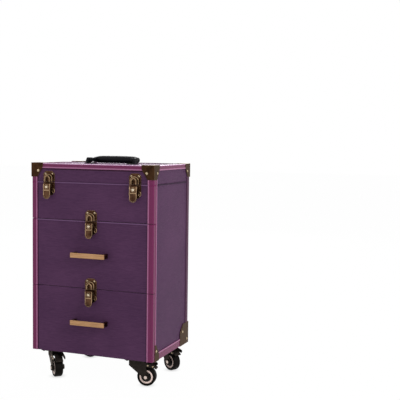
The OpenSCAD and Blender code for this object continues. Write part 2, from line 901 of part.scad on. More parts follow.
module drawer_front(low, high) {
    color("#472d43") {
        box([-board_x, -board_y, low + seam_gap / 2], [board_x, drawer_back_y, high - seam_gap / 2]);
    }
}

module drawer_trims(low, high) {
    color("#6a3356") {
        both_sides() intersection() {
            edge_trim(low + seam_gap / 2, high - seam_gap / 2);
            box([0, -body_d, low], [body_w, drawer_back_y, high]);
        }
    }
}

module drawer_box(low, high) {
    box_low = low + drawer_head_gap;
    box_high = high - drawer_head_gap;
    back_y = drawer_back_y + drawer_box_d;
    wall = drawer_wall_t;
    color("#2c2429") difference() {
        box([-drawer_box_x, drawer_back_y, box_low], [drawer_box_x, back_y, box_high]);
        box([-drawer_box_x + wall, drawer_back_y + wall, box_low + drawer_bottom_t],
            [drawer_box_x - wall, back_y - wall, box_high + cut]);
    }
}

module drawer_runners(z) {
    color("#b9babd") both_sides() runner_bar(z);
}

module drawer_pull(low, high) {
    color("#ad8562") translate([0, -board_y, (low + high) / 2]) difference() {
        box([-pull_l / 2, -pull_d, -pull_h / 2], [pull_l / 2, 0, pull_h / 2]);
        box([-pull_l / 2 + pull_leg_w, -pull_d + pull_bar_t, -pull_h],
            [pull_l / 2 - pull_leg_w, cut, pull_h]);
    }
}

module upper_drawer_front() { drawer_front(lower_seam_z, upper_seam_z); }
module upper_drawer_trims() {
    drawer_trims(lower_seam_z, upper_seam_z);
    color("#7a5274") seam_strip(upper_seam_z - seam_gap / 2, [0]);
}
module upper_drawer_box() { drawer_box(divider_low + divider_t, tier_floor_low); }
module upper_drawer_runners() { drawer_runners(upper_runner_z); }
module upper_drawer_pull() { drawer_pull(lower_seam_z, upper_seam_z); }
module upper_drawer_latch_plates() {
    color("#6b5238") {
        latch_at(0, upper_seam_z) latch_base();
        latch_at(0, lower_seam_z) catch();
    }
}

module lower_drawer_front() { drawer_front(base_z - seam_gap / 2, lower_seam_z); }
module lower_drawer_trims() { drawer_trims(base_z - seam_gap / 2, lower_seam_z); }
module lower_drawer_box() { drawer_box(base_z + bottom_t, divider_low); }
module lower_drawer_runners() { drawer_runners(lower_runner_z); }
module lower_drawer_pull() { drawer_pull(base_z, lower_seam_z); }
module lower_drawer_latch_base() { color("#6b5238") latch_at(0, lower_seam_z) latch_base(); }

// ---------- lid ----------

module lid_shell() {
    color("#4c3450") difference() {
        box([-board_x, -board_y, lid_low_z], [board_x, board_y, lid_board_top]);
        box([-board_x + lid_wall_t, -board_y + lid_wall_t, lid_low_z - cut],
            [board_x - lid_wall_t, board_y - lid_wall_t, lid_board_top - lid_top_t]);
    }
}

module lid_lining() {
    x = board_x - lid_wall_t;
    y = board_y - lid_wall_t;
    high = lid_board_top - lid_top_t;
    color("#3a3036") difference() {
        box([-x, -y, lid_low_z + lining_inset], [x, y, high]);
        box([-x + lining_t, -y + lining_t, lid_low_z], [x - lining_t, y - lining_t, high - lining_t]);
    }
}

module lid_trims() {
    color("#6a3356") difference() {
        lid_trim_bands();
        lid_corner_plates();
    }
}

module lid_trim_bands() {
    low = top_z - lid_trim_h;
    union() {
        both_sides() {
            edge_trim(lid_low_z, low + lip_w);
            front_to_back() edge_trim(lid_low_z, low + lip_w);
        }
        difference() {
            union() {
                translate([0, 0, low]) linear_extrude(lid_trim_h) rounded_square(body_w, body_d, edge_r);
                translate([0, 0, low]) linear_extrude(lip_w) {
                    rounded_square(body_w + 2 * lip_rise, body_d + 2 * lip_rise, edge_r);
                }
            }
            box([-board_x, -board_y, low - cut], [board_x, board_y, lid_board_top]);
            box([-half_w + lid_trim_h, -half_d + lid_trim_h, low],
                [half_w - lid_trim_h, half_d - lid_trim_h, top_z + cut]);
        }
    }
}

// Flat corner outline measured from the corner: along the edge, and down or across
function corner_points(foot) = [
    [0, 0], [-corner_w, 0], [-corner_w, -corner_band], [-foot, -corner_h], [0, -corner_h]
];

module lid_corner() {
    out_x = half_w + corner_t;
    out_y = half_d + corner_t;
    out_z = top_z + corner_t;
    translate([out_x, -half_d, out_z]) facing(corner_t) polygon(corner_points(corner_foot_w));
    translate([half_w, -out_y, out_z]) across(corner_t) mirror([1, 0]) polygon(corner_points(corner_foot_w));
    translate([out_x, -out_y, top_z]) linear_extrude(corner_t) {
        polygon([[0, 0], [-corner_w, 0], [-corner_w, corner_band], [-corner_band, corner_w], [0, corner_w]]);
    }
}

module lid_corner_plates() {
    both_sides() {
        lid_corner();
        front_to_back() lid_corner();
    }
}

module lid_corners() {
    color("#5c4632") lid_corner_plates();
}

// ---------- carry handle ----------

module handle_mounts() {
    foot_in = handle_ear_in - handle_foot_w;
    eye_r = handle_pin_r + ear_eye_rim;
    neck_w = 2 * handle_pin_r + 12;
    color("#1b1a1d") both_sides() difference() {
        union() {
            box([foot_in, handle_y - handle_foot_d / 2, lid_board_top],
                [handle_l / 2, handle_y + handle_foot_d / 2, lid_board_top + handle_foot_t]);
            translate([handle_ear_in, handle_y, 0]) across(handle_ear_w) {
                translate([0, handle_pin_z]) circle(eye_r);
                translate([-neck_w / 2, lid_board_top]) square([neck_w, handle_pin_up]);
            }
        }
        translate([handle_ear_in - cut, handle_y, handle_pin_z]) {
            rod(handle_pin_r + pin_clear, handle_ear_w + 2 * cut);
        }
    }
}

// Padded bar with an arm at each end, folded back flat on the lid
module carry_handle() {
    grip_y = handle_y + handle_reach;
    low = handle_pin_z - grip_t / 2;
    arm_r = handle_arm_w / 2;
    eye_r = handle_pin_r + arm_eye_rim;
    color("#1b1a1d") {
        intersection() {
            translate([0, 0, low]) linear_extrude(grip_t) {
                translate([0, grip_y]) rounded_square(2 * handle_arm_out, grip_d, grip_d / 2 - 0.5);
                for (sx = [-1, 1]) translate([sx * (handle_arm_out - arm_r), handle_y]) {
                    circle(arm_r);
                    translate([-arm_r, 0]) square([handle_arm_w, handle_reach]);
                }
            }
            translate([-handle_arm_out, 0, 0]) across(2 * handle_arm_out) {
                translate([grip_y, handle_pin_z]) rounded_square(grip_d, grip_t, grip_end_r);
                translate([handle_y, handle_pin_z]) circle(eye_r);
                translate([handle_y, handle_pin_z - eye_r]) square([handle_reach, 2 * eye_r]);
            }
        }
        both_sides() {
            translate([handle_arm_out - cut, handle_y, handle_pin_z]) {
                rod(handle_pin_r, cut + handle_ear_gap + handle_ear_w - handle_pin_short);
            }
        }
    }
}

// ---------- screws and rivets ----------

module case_screws() {
    side_out = half_w + corner_t;
    low = base_z;
    color("#cfc6bb") both_sides() {
        // Rivets of the bottom corners
        translate([side_out, half_d - rear_corner_w + rivet_inset, low + rear_corner_h - rear_corner_cut]) {
            side_dome(rivet_r, rivet_h);
        }
        translate([side_out, half_d - rivet_inset / 2, low + rivet_inset / 2]) side_dome(rivet_r, rivet_h);
        translate([side_out, cabinet_front_y + front_corner_w / 3, low + front_corner_rivet_z]) {
            side_dome(rivet_r, rivet_h);
        }
        // Screws of the hinges
        for (x = [-1, 1]) {
            translate([hinge_x + x * hinge_w / 3, board_y + hinge_leaf_t, lid_seam_z - hinge_screw_z]) {
                mirror([0, 1, 0]) front_dome(latch_screw_r, screw_head_h);
            }
        }
        // Screws of the trolley brackets
        for (z = [tube_mouth_z - mouth_h / 2, tube0_low + foot_h / 2]) {
            translate([tube_x + tube0_w / 2 + bracket_wall + bracket_ear / 2, half_d + bracket_wall, z]) {
                mirror([0, 1, 0]) front_dome(latch_screw_r, screw_head_h);
            }
        }
    }
    // Screws of the caster plates
    color("#cfc6bb") for (i = [0:3], sx = [-1, 1], sy = [-1, 1]) caster_at(i) {
        translate([
            sx * (caster_plate_w / 2 - plate_screw_in), sy * (caster_plate_d / 2 - plate_screw_in), caster_plate_low
        ]) mirror([0, 0, 1]) dome(plate_screw_r, plate_screw_h);
    }
}

module lid_screws() {
    side_out = half_w + corner_t;
    front_out = half_d + corner_t;
    z = top_z - rivet_inset;
    color("#cfc6bb") both_sides() {
        for (sy = [-1, 1]) {
            translate([side_out, sy * (half_d - rivet_inset), z]) side_dome(rivet_r, rivet_h);
        }
        translate([half_w - rivet_inset, -front_out, z]) front_dome(rivet_r, rivet_h);
        translate([half_w - rivet_inset, front_out, z]) mirror([0, 1, 0]) front_dome(rivet_r, rivet_h);
        // Screws of the hinges
        for (x = [-1, 1]) {
            translate([hinge_x + x * hinge_w / 3, board_y + hinge_leaf_t, lid_seam_z + hinge_screw_z]) {
                mirror([0, 1, 0]) front_dome(latch_screw_r, screw_head_h);
            }
        }
        // Screws of the handle mounts
        for (sy = [-1, 1]) {
            translate([
                handle_ear_in - handle_foot_w / 2, handle_y + sy * (handle_foot_d / 2 - 5),
                lid_board_top + handle_foot_t
            ]) dome(handle_screw_r, screw_head_h);
        }
    }
}

// ---------- trolley ----------

module each_tube() {
    for (x = [-tube_x, tube_x]) translate([x, tube_cy, 0]) children();
}

module trolley_outer_tubes() {
    color("#201f22") each_tube() translate([0, 0, tube0_low]) {
        tube(tube0_w, tube0_d, tube_r + tube_gap + tube_wall, tube_wall, tube_mouth_z - tube0_low);
    }
}

// Blocks that hold the outer tubes against the back, with a closed lower pair
module trolley_brackets() {
    w = tube0_w + 2 * bracket_wall;
    d = tube0_d + 2 * bracket_wall;
    ear = w / 2 + bracket_ear;
    color("#17171a") each_tube() {
        for (band = [[tube0_low - bracket_wall, foot_h], [tube_mouth_z - mouth_h, mouth_h]]) {
            translate([0, 0, band[0]]) difference() {
                union() {
                    linear_extrude(band[1]) rounded_square(w, d, tube_r + bracket_wall);
                    box([-w / 2, -tube_y, 0], [w / 2, 0, band[1]]);
                    box([-ear, -tube_y, bracket_inset],
                        [ear, -tube_y + bracket_wall, band[1] - bracket_inset]);
                }
                floor_t = band[0] < tube0_low ? bracket_wall : -cut;
                translate([0, 0, floor_t]) linear_extrude(band[1] + 2 * cut) {
                    rounded_square(tube0_w, tube0_d, tube_r + tube_gap + tube_wall);
                }
            }
        }
        // Packing between the brackets and the boards, inside the depth of the trims
        foot_packing_low = max(tube0_low, base_z + base_trim_h);
        for (band = [
            [foot_packing_low, tube0_low - bracket_wall + foot_h - bracket_inset],
            [tube_mouth_z - mouth_h + bracket_inset, tube_mouth_z - bracket_inset]
        ]) {
            box([-ear, -tube_y - trim_t, band[0]], [ear, -tube_y, band[1]]);
        }
    }
}

module trolley_middle_tubes() {
    color("#1c1c1f") each_tube() difference() {
        union() {
            translate([0, 0, tube1_low]) tube(tube1_w, tube1_d, tube_r, tube_wall, collar_top_z - tube1_low);
            translate([0, 0, collar_top_z - collar_h]) {
                tube(tube1_w + 2 * collar_rim, tube1_d + 2 * collar_rim, tube_r + collar_rim,
                    tube_wall + collar_rim, collar_h);
            }
        }
        translate([0, 0, collar_top_z - detent_down]) rotate([90, 0, 0]) cylinder(r = detent_r, h = tube1_d);
    }
}

module trolley_inner_tubes() {
    color("#1c1c1f") each_tube() translate([0, 0, tube2_low]) {
        tube(tube2_w, tube2_d, tube_r - tube_wall, tube_wall, grip_low_z + grip_socket - tube2_low);
    }
}

// Grip: sleeves over the tubes and a bar that rises a little to its middle
module trolley_grip() {
    half = trolley_grip_w / 2;
    sleeve_w = 2 * (half - tube_x);
    slot_low = button_low_z - release_bar_h - button_travel - rod_gap;
    color("#1b1a1d") difference() {
        intersection() {
            translate([0, tube_cy + trolley_grip_d / 2, 0]) facing(trolley_grip_d) {
                difference() {
                    grip_front_outline(half);
                    translate([-tube_x + sleeve_w / 2, grip_low_z - cut]) {
                        square([2 * tube_x - sleeve_w, grip_bar_low - grip_low_z + cut]);
                    }
                }
            }
            translate([0, tube_cy, grip_low_z]) linear_extrude(grip_sleeve_h + cut) {
                rounded_square(trolley_grip_w, trolley_grip_d, grip_corner_r);
            }
        }
        each_tube() translate([0, 0, grip_low_z - cut]) linear_extrude(grip_socket + cut) {
            rounded_square(tube2_w, tube2_d, tube_r - tube_wall);
        }
        translate([0, tube_cy, button_low_z - button_travel]) linear_extrude(grip_sleeve_h) {
            rounded_square(button_l + 2 * button_gap, button_d + 2 * button_gap, button_d / 2);
        }
        // Room for the release bar and its rods
        box([-tube_x - rod_r - rod_gap, tube_cy - rod_r - rod_gap, slot_low],
            [tube_x + rod_r + rod_gap, tube_cy + rod_r + rod_gap, button_low_z + button_gap]);
        each_tube() translate([0, 0, grip_low_z]) {
            cylinder(r = rod_bore_r, h = button_low_z - grip_low_z);
        }
    }
}

module grip_front_outline(half) {
    arc_r = (half * half + grip_arc_rise * grip_arc_rise) / (2 * grip_arc_rise);
    intersection() {
        translate([-half - cut, grip_low_z]) square([2 * (half + cut), grip_sleeve_h + cut]);
        translate([0, trolley_top_z - arc_r]) circle(arc_r, $fn = 180);
    }
}

// Push button with the bar and rods that release the tubes
module trolley_button() {
    color("#2a292d") {
        translate([0, tube_cy, button_low_z]) {
            linear_extrude(button_h) rounded_square(button_l, button_d, button_d / 2 - button_gap);
        }
        box([-tube_x - release_bar_y, tube_cy - release_bar_y, button_low_z - release_bar_h],
            [tube_x + release_bar_y, tube_cy + release_bar_y, button_low_z]);
        rod_low = tube2_low + button_travel + rod_gap;
        each_tube() translate([0, 0, rod_low]) cylinder(r = rod_r, h = button_low_z - rod_r - rod_low);
    }
}

// ---------- casters ----------

// Moves a caster drawn round its kingpin, with the wheel trailing towards +X
module caster_at(i) {
    translate(caster_spots[i]) children();
}

module caster_turned(i) {
    caster_at(i) rotate([0, 0, caster_turn[i]]) children();
}

module caster_plates() {
    color("#2b2a2c") for (i = [0:3]) caster_at(i) {
        translate([-caster_plate_w / 2, -caster_plate_d / 2, caster_plate_low]) {
            cube([caster_plate_w, caster_plate_d, caster_plate_t]);
        }
        translate([0, 0, fork_crown_z - swivel_gap]) {
            cylinder(r = kingpin_r, h = caster_plate_low - fork_crown_z + swivel_gap);
        }
        translate([0, 0, fork_crown_z - swivel_gap - kingpin_head_t]) {
            cylinder(r = kingpin_r + kingpin_head_rim, h = kingpin_head_t);
        }
    }
}

module fork(i) {
    color("#262427") caster_turned(i) {
        difference() {
            union() {
                translate([0, 0, fork_crown_z]) cylinder(r = fork_head_r, h = fork_top_z - fork_crown_z);
                for (y = [-leg_out, leg_in]) {
                    translate([0, y + fork_t, 0]) facing(fork_t) fork_leg_outline();
                }
            }
            translate([0, 0, fork_crown_z - cut]) {
                cylinder(r = kingpin_r + pin_clear, h = fork_top_z - fork_crown_z + 2 * cut);
            }
            // Pocket for the brake pedal's eye, and the holes for its pin
            box([brake_pin_x - brake_eye_r - brake_pocket_gap, -leg_in, fork_crown_z - cut],
                [fork_head_r + cut, leg_in, brake_pin_z + brake_eye_r + brake_pocket_gap]);
            for (y = [-leg_out - cut, leg_in - cut]) {
                translate([brake_pin_x, y, brake_pin_z]) rotate([-90, 0, 0]) {
                    cylinder(r = brake_pin_r + pin_clear, h = fork_t + 2 * cut);
                }
            }
        }
        // Axle with a round head and a hexagonal nut
        translate([caster_trail, -leg_out - axle_head_t, axle_z]) rotate([-90, 0, 0]) {
            cylinder(r = axle_r, h = 2 * leg_out + 2 * axle_head_t);
            cylinder(r = axle_r + axle_head_rim, h = axle_head_t);
            translate([0, 0, 2 * leg_out + axle_head_t]) {
                cylinder(r = axle_r + axle_head_rim, h = axle_nut_t, $fn = 6);
            }
        }
    }
}

module fork_leg_outline() {
    head = fork_head_r - 2 + leg_step;
    eye_r = axle_r + leg_eye_rim;
    translate([caster_trail, axle_z]) circle(eye_r);
    polygon([
        [-head, fork_top_z], [-head, fork_crown_z], [caster_trail - eye_r, axle_z],
        [caster_trail + eye_r, axle_z], [head, fork_crown_z], [head, fork_top_z]
    ]);
}

module wheel(i) {
    color("#1b1b1d") caster_turned(i) translate([caster_trail, wheel_w / 2, axle_z]) rotate([90, 0, 0]) {
        difference() {
            union() {
                translate([0, 0, tread_step]) cylinder(r = wheel_r, h = wheel_w - 2 * tread_step);
                cylinder(r = wheel_r - tread_step, h = wheel_w);
            }
            translate([0, 0, -cut]) cylinder(r = axle_r + pin_clear, h = wheel_w + 2 * cut);
            for (z = [-cut, wheel_w - hub_recess]) translate([0, 0, z]) difference() {
                cylinder(r = wheel_r - rim_w, h = hub_recess + cut);
                cylinder(r = axle_r + hub_rim, h = hub_recess + cut);
            }
        }
    }
}

module brake(i) {
    w = wheel_w / 2 - brake_side_gap;
    tip_x = brake_pin_x + brake_l - brake_pin_r;
    tip_z = brake_pin_z - brake_drop;
    bend_x = brake_pin_x + brake_bend;
    high_z = brake_pin_z + brake_eye_r;
    color("#262427") caster_turned(i) {
        translate([0, w, 0]) facing(2 * w) difference() {
            union() {
                translate([brake_pin_x, brake_pin_z]) circle(brake_eye_r);
                polygon([
                    [brake_pin_x, high_z], [bend_x, high_z], [tip_x, tip_z + brake_tip_h], [tip_x, tip_z],
                    [bend_x, high_z - brake_t], [brake_pin_x, brake_pin_z - brake_pin_r]
                ]);
            }
            translate([brake_pin_x, brake_pin_z]) circle(brake_pin_r / 2);
        }
        translate([brake_pin_x, leg_out, brake_pin_z]) rotate([90, 0, 0]) {
            cylinder(r = brake_pin_r, h = 2 * leg_out);
        }
    }
}

module caster_1_fork() { fork(0); }
module caster_2_fork() { fork(1); }
module caster_3_fork() { fork(2); }
module caster_4_fork() { fork(3); }
module caster_1_wheel() { wheel(0); }
module caster_2_wheel() { wheel(1); }
module caster_3_wheel() { wheel(2); }
module caster_4_wheel() { wheel(3); }
module caster_1_brake() { brake(0); }
module caster_2_brake() { brake(1); }
module caster_3_brake() { brake(2); }
module caster_4_brake() { brake(3); }

side_panels();
back_panel();
bottom_panel();
shelves();
tier_front();
case_trims();
base_corners();
tier_lining();
case_runners();
lower_hinges();
case_latch_plates();
trolley_outer_tubes();
trolley_brackets();
caster_plates();
case_screws();
lid_shell();
lid_trims();
lid_corners();
lid_lining();
upper_hinges();
lid_catches();
handle_mounts();
lid_screws();
carry_handle();
upper_drawer_front();
upper_drawer_trims();
upper_drawer_box();
upper_drawer_runners();
upper_drawer_pull();
upper_drawer_latch_plates();
lower_drawer_front();
lower_drawer_trims();
lower_drawer_box();
lower_drawer_runners();
lower_drawer_pull();
lower_drawer_latch_base();
lid_lever_left();
lid_lever_right();
upper_drawer_lever();
lower_drawer_lever();
lid_plug_left();
lid_plug_right();
upper_drawer_plug();
lower_drawer_plug();
trolley_middle_tubes();
trolley_inner_tubes();
trolley_grip();
trolley_button();
caster_1_fork();
caster_2_fork();
caster_3_fork();
caster_4_fork();
caster_1_wheel();
caster_2_wheel();
caster_3_wheel();
caster_4_wheel();
caster_1_brake();
caster_2_brake();
caster_3_brake();
caster_4_brake();
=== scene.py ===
import json
import math
import bmesh
import bpy
from mathutils import Matrix, Vector


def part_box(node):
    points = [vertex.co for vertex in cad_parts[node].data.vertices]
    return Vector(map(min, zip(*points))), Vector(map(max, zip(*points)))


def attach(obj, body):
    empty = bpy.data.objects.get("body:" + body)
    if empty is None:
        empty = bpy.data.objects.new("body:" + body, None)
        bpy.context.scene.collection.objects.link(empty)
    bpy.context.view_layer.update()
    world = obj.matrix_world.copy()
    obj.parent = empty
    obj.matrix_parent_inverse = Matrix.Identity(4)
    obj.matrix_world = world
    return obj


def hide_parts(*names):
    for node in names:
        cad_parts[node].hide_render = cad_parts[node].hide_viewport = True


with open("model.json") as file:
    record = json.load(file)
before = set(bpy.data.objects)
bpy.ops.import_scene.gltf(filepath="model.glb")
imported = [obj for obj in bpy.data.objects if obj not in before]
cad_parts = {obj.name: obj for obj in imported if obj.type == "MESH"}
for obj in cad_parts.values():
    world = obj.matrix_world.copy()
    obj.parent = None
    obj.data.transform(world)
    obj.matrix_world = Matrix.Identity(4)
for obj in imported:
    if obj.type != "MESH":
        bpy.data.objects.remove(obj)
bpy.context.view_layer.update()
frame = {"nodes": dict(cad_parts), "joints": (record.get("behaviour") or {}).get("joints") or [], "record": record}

nodes = frame["nodes"]
bodyOf = {node: body for body, names in frame["record"]["behaviour"]["bodies"].items() for node in names}
print("frame loaded:", len(nodes), "nodes")


# Values and links as Python expressions

class Wire:
    def __init__(self, tree, socket):
        self.tree = tree
        self.socket = socket

    def maths(self, operation, *others):
        return self.tree.add("ShaderNodeMath", {"operation": operation}, [self, *others])

    def __add__(self, other):
        return self.maths("ADD", other)

    def __sub__(self, other):
        return self.maths("SUBTRACT", other)

    def __mul__(self, other):
        return self.maths("MULTIPLY", other)

    def __radd__(self, other):
        return self + other

    def __rmul__(self, other):
        return self * other

    def __rsub__(self, other):
        return self.tree.add("ShaderNodeMath", {"operation": "SUBTRACT"}, [other, self])


class Nodes:
    def __init__(self, tree):
        self.tree = tree

    def add(self, kind, settings=None, values=None, out=0):
        node = self.tree.nodes.new(kind)
        for name, value in (settings or {}).items():
            setattr(node, name, value)
        pairs = values.items() if isinstance(values, dict) else enumerate(values or [])
        for key, value in pairs:
            if isinstance(value, Wire):
                self.tree.links.new(value.socket, node.inputs[key])
            else:
                node.inputs[key].default_value = value
        return Wire(self, node.outputs[out])


def linear(level):  # a screen level, 0 to 255, as Blender's linear value
    return level / 255 / 12.92 if level <= 10 else ((level / 255 + 0.055) / 1.055) ** 2.4


def shade(red, green, blue):
    return linear(red), linear(green), linear(blue)


# Finishes

class Finish(Nodes):
    def __init__(self, name, **fixed):
        self.material = bpy.data.materials.new(name)
        self.material.use_nodes = True
        super().__init__(self.material.node_tree)
        self.tree.nodes.clear()
        surface = self.tree.nodes.new("ShaderNodeBsdfPrincipled")
        for socket, value in fixed.items():
            surface.inputs[socket.replace("_", " ")].default_value = value
        output = self.tree.nodes.new("ShaderNodeOutputMaterial")
        self.tree.links.new(surface.outputs["BSDF"], output.inputs["Surface"])
        self.surface = surface
        self.place = self.add("ShaderNodeTexCoord", out="Object")

    def feed(self, socket, wire):
        self.tree.links.new(wire.socket, self.surface.inputs[socket])

    def stretched(self, x, y, z):
        return self.add("ShaderNodeMapping", None, {"Vector": self.place, "Scale": (x, y, z)})

    def cloud(self, scale, detail=2.0, roughness=0.5, along=None):
        values = {"Vector": along or self.place, "Scale": scale, "Detail": detail, "Roughness": roughness}
        return self.add("ShaderNodeTexNoise", None, values)

    def cells(self, scale):
        return self.add("ShaderNodeTexVoronoi", {"feature": "F1"}, {"Vector": self.place, "Scale": scale})

    def mix(self, mask, low, high):
        low, high = (v if isinstance(v, Wire) else (*v, 1) for v in (low, high))
        return self.add("ShaderNodeMix", {"data_type": "RGBA"}, {0: mask, 6: low, 7: high}, 2)

    def spread(self, wire, low, high, newLow=0.0, newHigh=1.0):
        return self.add("ShaderNodeMapRange", None, [wire, low, high, newLow, newHigh])

    def axes(self):
        parts = self.tree.nodes.new("ShaderNodeSeparateXYZ")
        self.tree.links.new(self.place.socket, parts.inputs[0])
        return [Wire(self, output) for output in parts.outputs]

    def relief(self, height, depth, strength=1.0):
        bump = self.add("ShaderNodeBump", None, {"Strength": strength, "Distance": depth, "Height": height})
        self.feed("Normal", bump)

    def edges(self, radius):  # 1 on a sharp edge, 0 on flat ground
        soft = self.add("ShaderNodeBevel", {"samples": 6}, {"Radius": radius})
        true = self.add("ShaderNodeNewGeometry", out="True Normal")
        facing = self.add("ShaderNodeVectorMath", {"operation": "DOT_PRODUCT"}, [soft, true], "Value")
        return self.spread(facing, 0.999, 0.80)


class Shaper(Nodes):  # a Geometry Nodes tree with named inputs
    def __init__(self, name, inputs):
        self.group = bpy.data.node_groups.new(name, "GeometryNodeTree")
        super().__init__(self.group)
        self.group.interface.new_socket("Geometry", in_out="OUTPUT", socket_type="NodeSocketGeometry")
        self.keys = {}
        for label, kind in {"Geometry": "Geometry", "Material": "Material", **inputs}.items():
            item = self.group.interface.new_socket(label, in_out="INPUT", socket_type="NodeSocket" + kind)
            self.keys[label] = item.identifier
        self.entry = self.group.nodes.new("NodeGroupInput")

    def given(self, label):
        return Wire(self, self.entry.outputs[label])

    def named(self, label):
        return self.add("GeometryNodeInputNamedAttribute", {"data_type": "FLOAT_VECTOR"}, {"Name": label})

    def close(self, geometry):
        solid = self.add("GeometryNodeRealizeInstances", None, [geometry])
        values = {"Geometry": solid, "Material": self.given("Material")}
        painted = self.add("GeometryNodeSetMaterial", None, values)
        end = self.group.nodes.new("NodeGroupOutput")
        self.tree.links.new(painted.socket, end.inputs[0])

    def grow(self, name, mesh, finish, **values):
        piece = newPiece(name, mesh, finish)
        modifier = piece.modifiers.new("shape", "NODES")
        modifier.node_group = self.group
        for label, value in {"Material": finish, **values}.items():
            modifier[self.keys[label.replace("_", " ")]] = value
        return settle(piece)


def coverFinish(name, low, high, rough, paintedCreaseShade):
    finish = Finish(name, Specular_IOR_Level=0.06, Sheen_Weight=0.22, Sheen_Roughness=0.3,
                    Sheen_Tint=(0.9, 0.58, 0.86, 1))
    thread = finish.cloud(1.0, 3.0, 0.6, finish.stretched(60, 60, 1100))
    grain = finish.cells(1150)
    patch = finish.cloud(7.0, 3.0)
    tone = finish.spread(thread * 0.6 + patch * 0.4, 0.36, 0.64)
    x, y, z = finish.axes()
    # Painted shade: on the front and back, the cover turns a plain dark tone near the side trims and just below
    # the lid trim, where the cloth meets the trims.
    outside = x.maths("ABSOLUTE").maths("GREATER_THAN", paintedCreaseShade["side"])
    shadedCrease = outside.maths("MAXIMUM", z.maths("GREATER_THAN", paintedCreaseShade["top"]))
    shadedCrease = shadedCrease * y.maths("ABSOLUTE").maths("GREATER_THAN", paintedCreaseShade["face"])
    finish.feed("Base Color", finish.mix(shadedCrease, finish.mix(tone, low, high), paintedCreaseShade["tone"]))
    finish.feed("Roughness", finish.spread(grain * 0.5 + patch * 0.5, 0.1, 0.8, rough, rough + 0.12))
    finish.relief(thread * 0.6 + grain * 0.8, 0.00025, 0.5)
    return finish.material


def within(wire, middle, half):
    return (wire - middle).maths("ABSOLUTE").maths("LESS_THAN", half)


def trimFinish(name, trim):
    finish = Finish(name, Coat_Roughness=0.12, Specular_IOR_Level=0.1, Sheen_Weight=0.16, Sheen_Roughness=0.3,
                    Sheen_Tint=(0.95, 0.6, 0.85, 1))
    x, y, z = finish.axes()
    wide, deep = x.maths("ABSOLUTE"), y.maths("ABSOLUTE")
    lip = (wide - trim["side"]).maths("MAXIMUM", deep - trim["front"]).maths("GREATER_THAN", 0.0)
    rear = y.maths("GREATER_THAN", trim["rear"])
    upper, lower = (within(z, height, trim["seamHalf"]) for height in trim["seams"])
    seam = upper.maths("MAXIMUM", lower)
    across = seam * wide.maths("LESS_THAN", trim["acrossEnd"])
    onSide = wide.maths("GREATER_THAN", trim["besideStart"])
    beside = seam * deep.maths("LESS_THAN", trim["besideEnd"]) * onSide
    streak = finish.cloud(1.0, 2.0, 0.5, finish.stretched(300, 300, 14))
    band = finish.mix(streak, trim["low"], trim["high"])
    # Painted shade: the rear strips of the trim take darker, greyer copies of the band and lip colours.
    band = finish.mix(rear, band, trim["rearBand"])
    # Painted sheen: the raised lips take a paler colour than the band.
    pale = finish.mix(rear, trim["lip"], trim["rearLip"])
    colour = finish.mix(lip, band, pale)
    colour = finish.mix(across, colour, trim["seamFront"])
    # Painted shade: on the case's sides the seam strips take a near-black plum, darker than on the front.
    colour = finish.mix(beside, colour, trim["seamSide"])
    # Painted highlight: a pale lilac band along the outer top edge of the trims, standing in for the light caught
    # by the rounded top edge.
    outer = (wide - trim["side"]).maths("MAXIMUM", deep - trim["front"]).maths("GREATER_THAN", -trim["edge"])
    crown = z.maths("GREATER_THAN", trim["top"]) * outer
    finish.feed("Base Color", finish.mix(crown, colour, trim["crown"]))
    plain = seam.maths("MAXIMUM", rear)
    finish.feed("Roughness", finish.spread(streak, 0.3, 0.7, 0.28, 0.42) + plain * 0.3)
    finish.feed("Coat Weight", 0.14 - plain * 0.14)
    finish.relief(finish.cloud(420, 2.0), 0.0002, 0.25)
    return finish.material


def metalFinish(name, dark, light, rough, edgeWearAndHighlight=None, edge=0.0006, metallic=1.0, brushed=None,
                tint=(1, 1, 1)):
    finish = Finish(name, Metallic=metallic, Specular_Tint=(*tint, 1))
    along = finish.stretched(*brushed) if brushed else None
    mottle = finish.cloud(1.0 if brushed else 60, 4.0, 0.6, along)
    colour = finish.mix(finish.spread(mottle, 0.35, 0.65), dark, light)
    # Sharp edges take a paler colour: partly rubbed metal, partly painted highlight.
    if edgeWearAndHighlight:
        colour = finish.mix(finish.edges(edge), colour, edgeWearAndHighlight)
    finish.feed("Base Color", colour)
    finish.feed("Roughness", finish.spread(mottle, 0.3, 0.7, rough[0], rough[1]))
    finish.relief(finish.cloud(700, 3.0), 0.0001, 0.35)
    return finish.material


def mouldedFinish(name, colour, rough, grain=900, depth=0.0002, pale=1.6, gloss=0.35):
    finish = Finish(name, Specular_IOR_Level=gloss)
    patch = finish.cloud(40, 3.0)
    finish.feed("Base Color", finish.mix(patch, colour, tuple(v * pale for v in colour)))
    finish.feed("Roughness", finish.spread(patch, 0.3, 0.7, rough - 0.06, rough + 0.08))
    finish.relief(finish.cells(grain), depth, 0.5)
    return finish.material


def clothFinish(name, colour):
    finish = Finish(name, Roughness=0.9, Sheen_Weight=0.35, Sheen_Roughness=0.4)
    nap = finish.cloud(1600, 2.0)
    patch = finish.cloud(25, 3.0)
    finish.feed("Base Color", finish.mix(nap * 0.5 + patch * 0.5, tuple(v * 0.6 for v in colour), colour))
    finish.relief(nap, 0.0004, 0.6)
    return finish.material


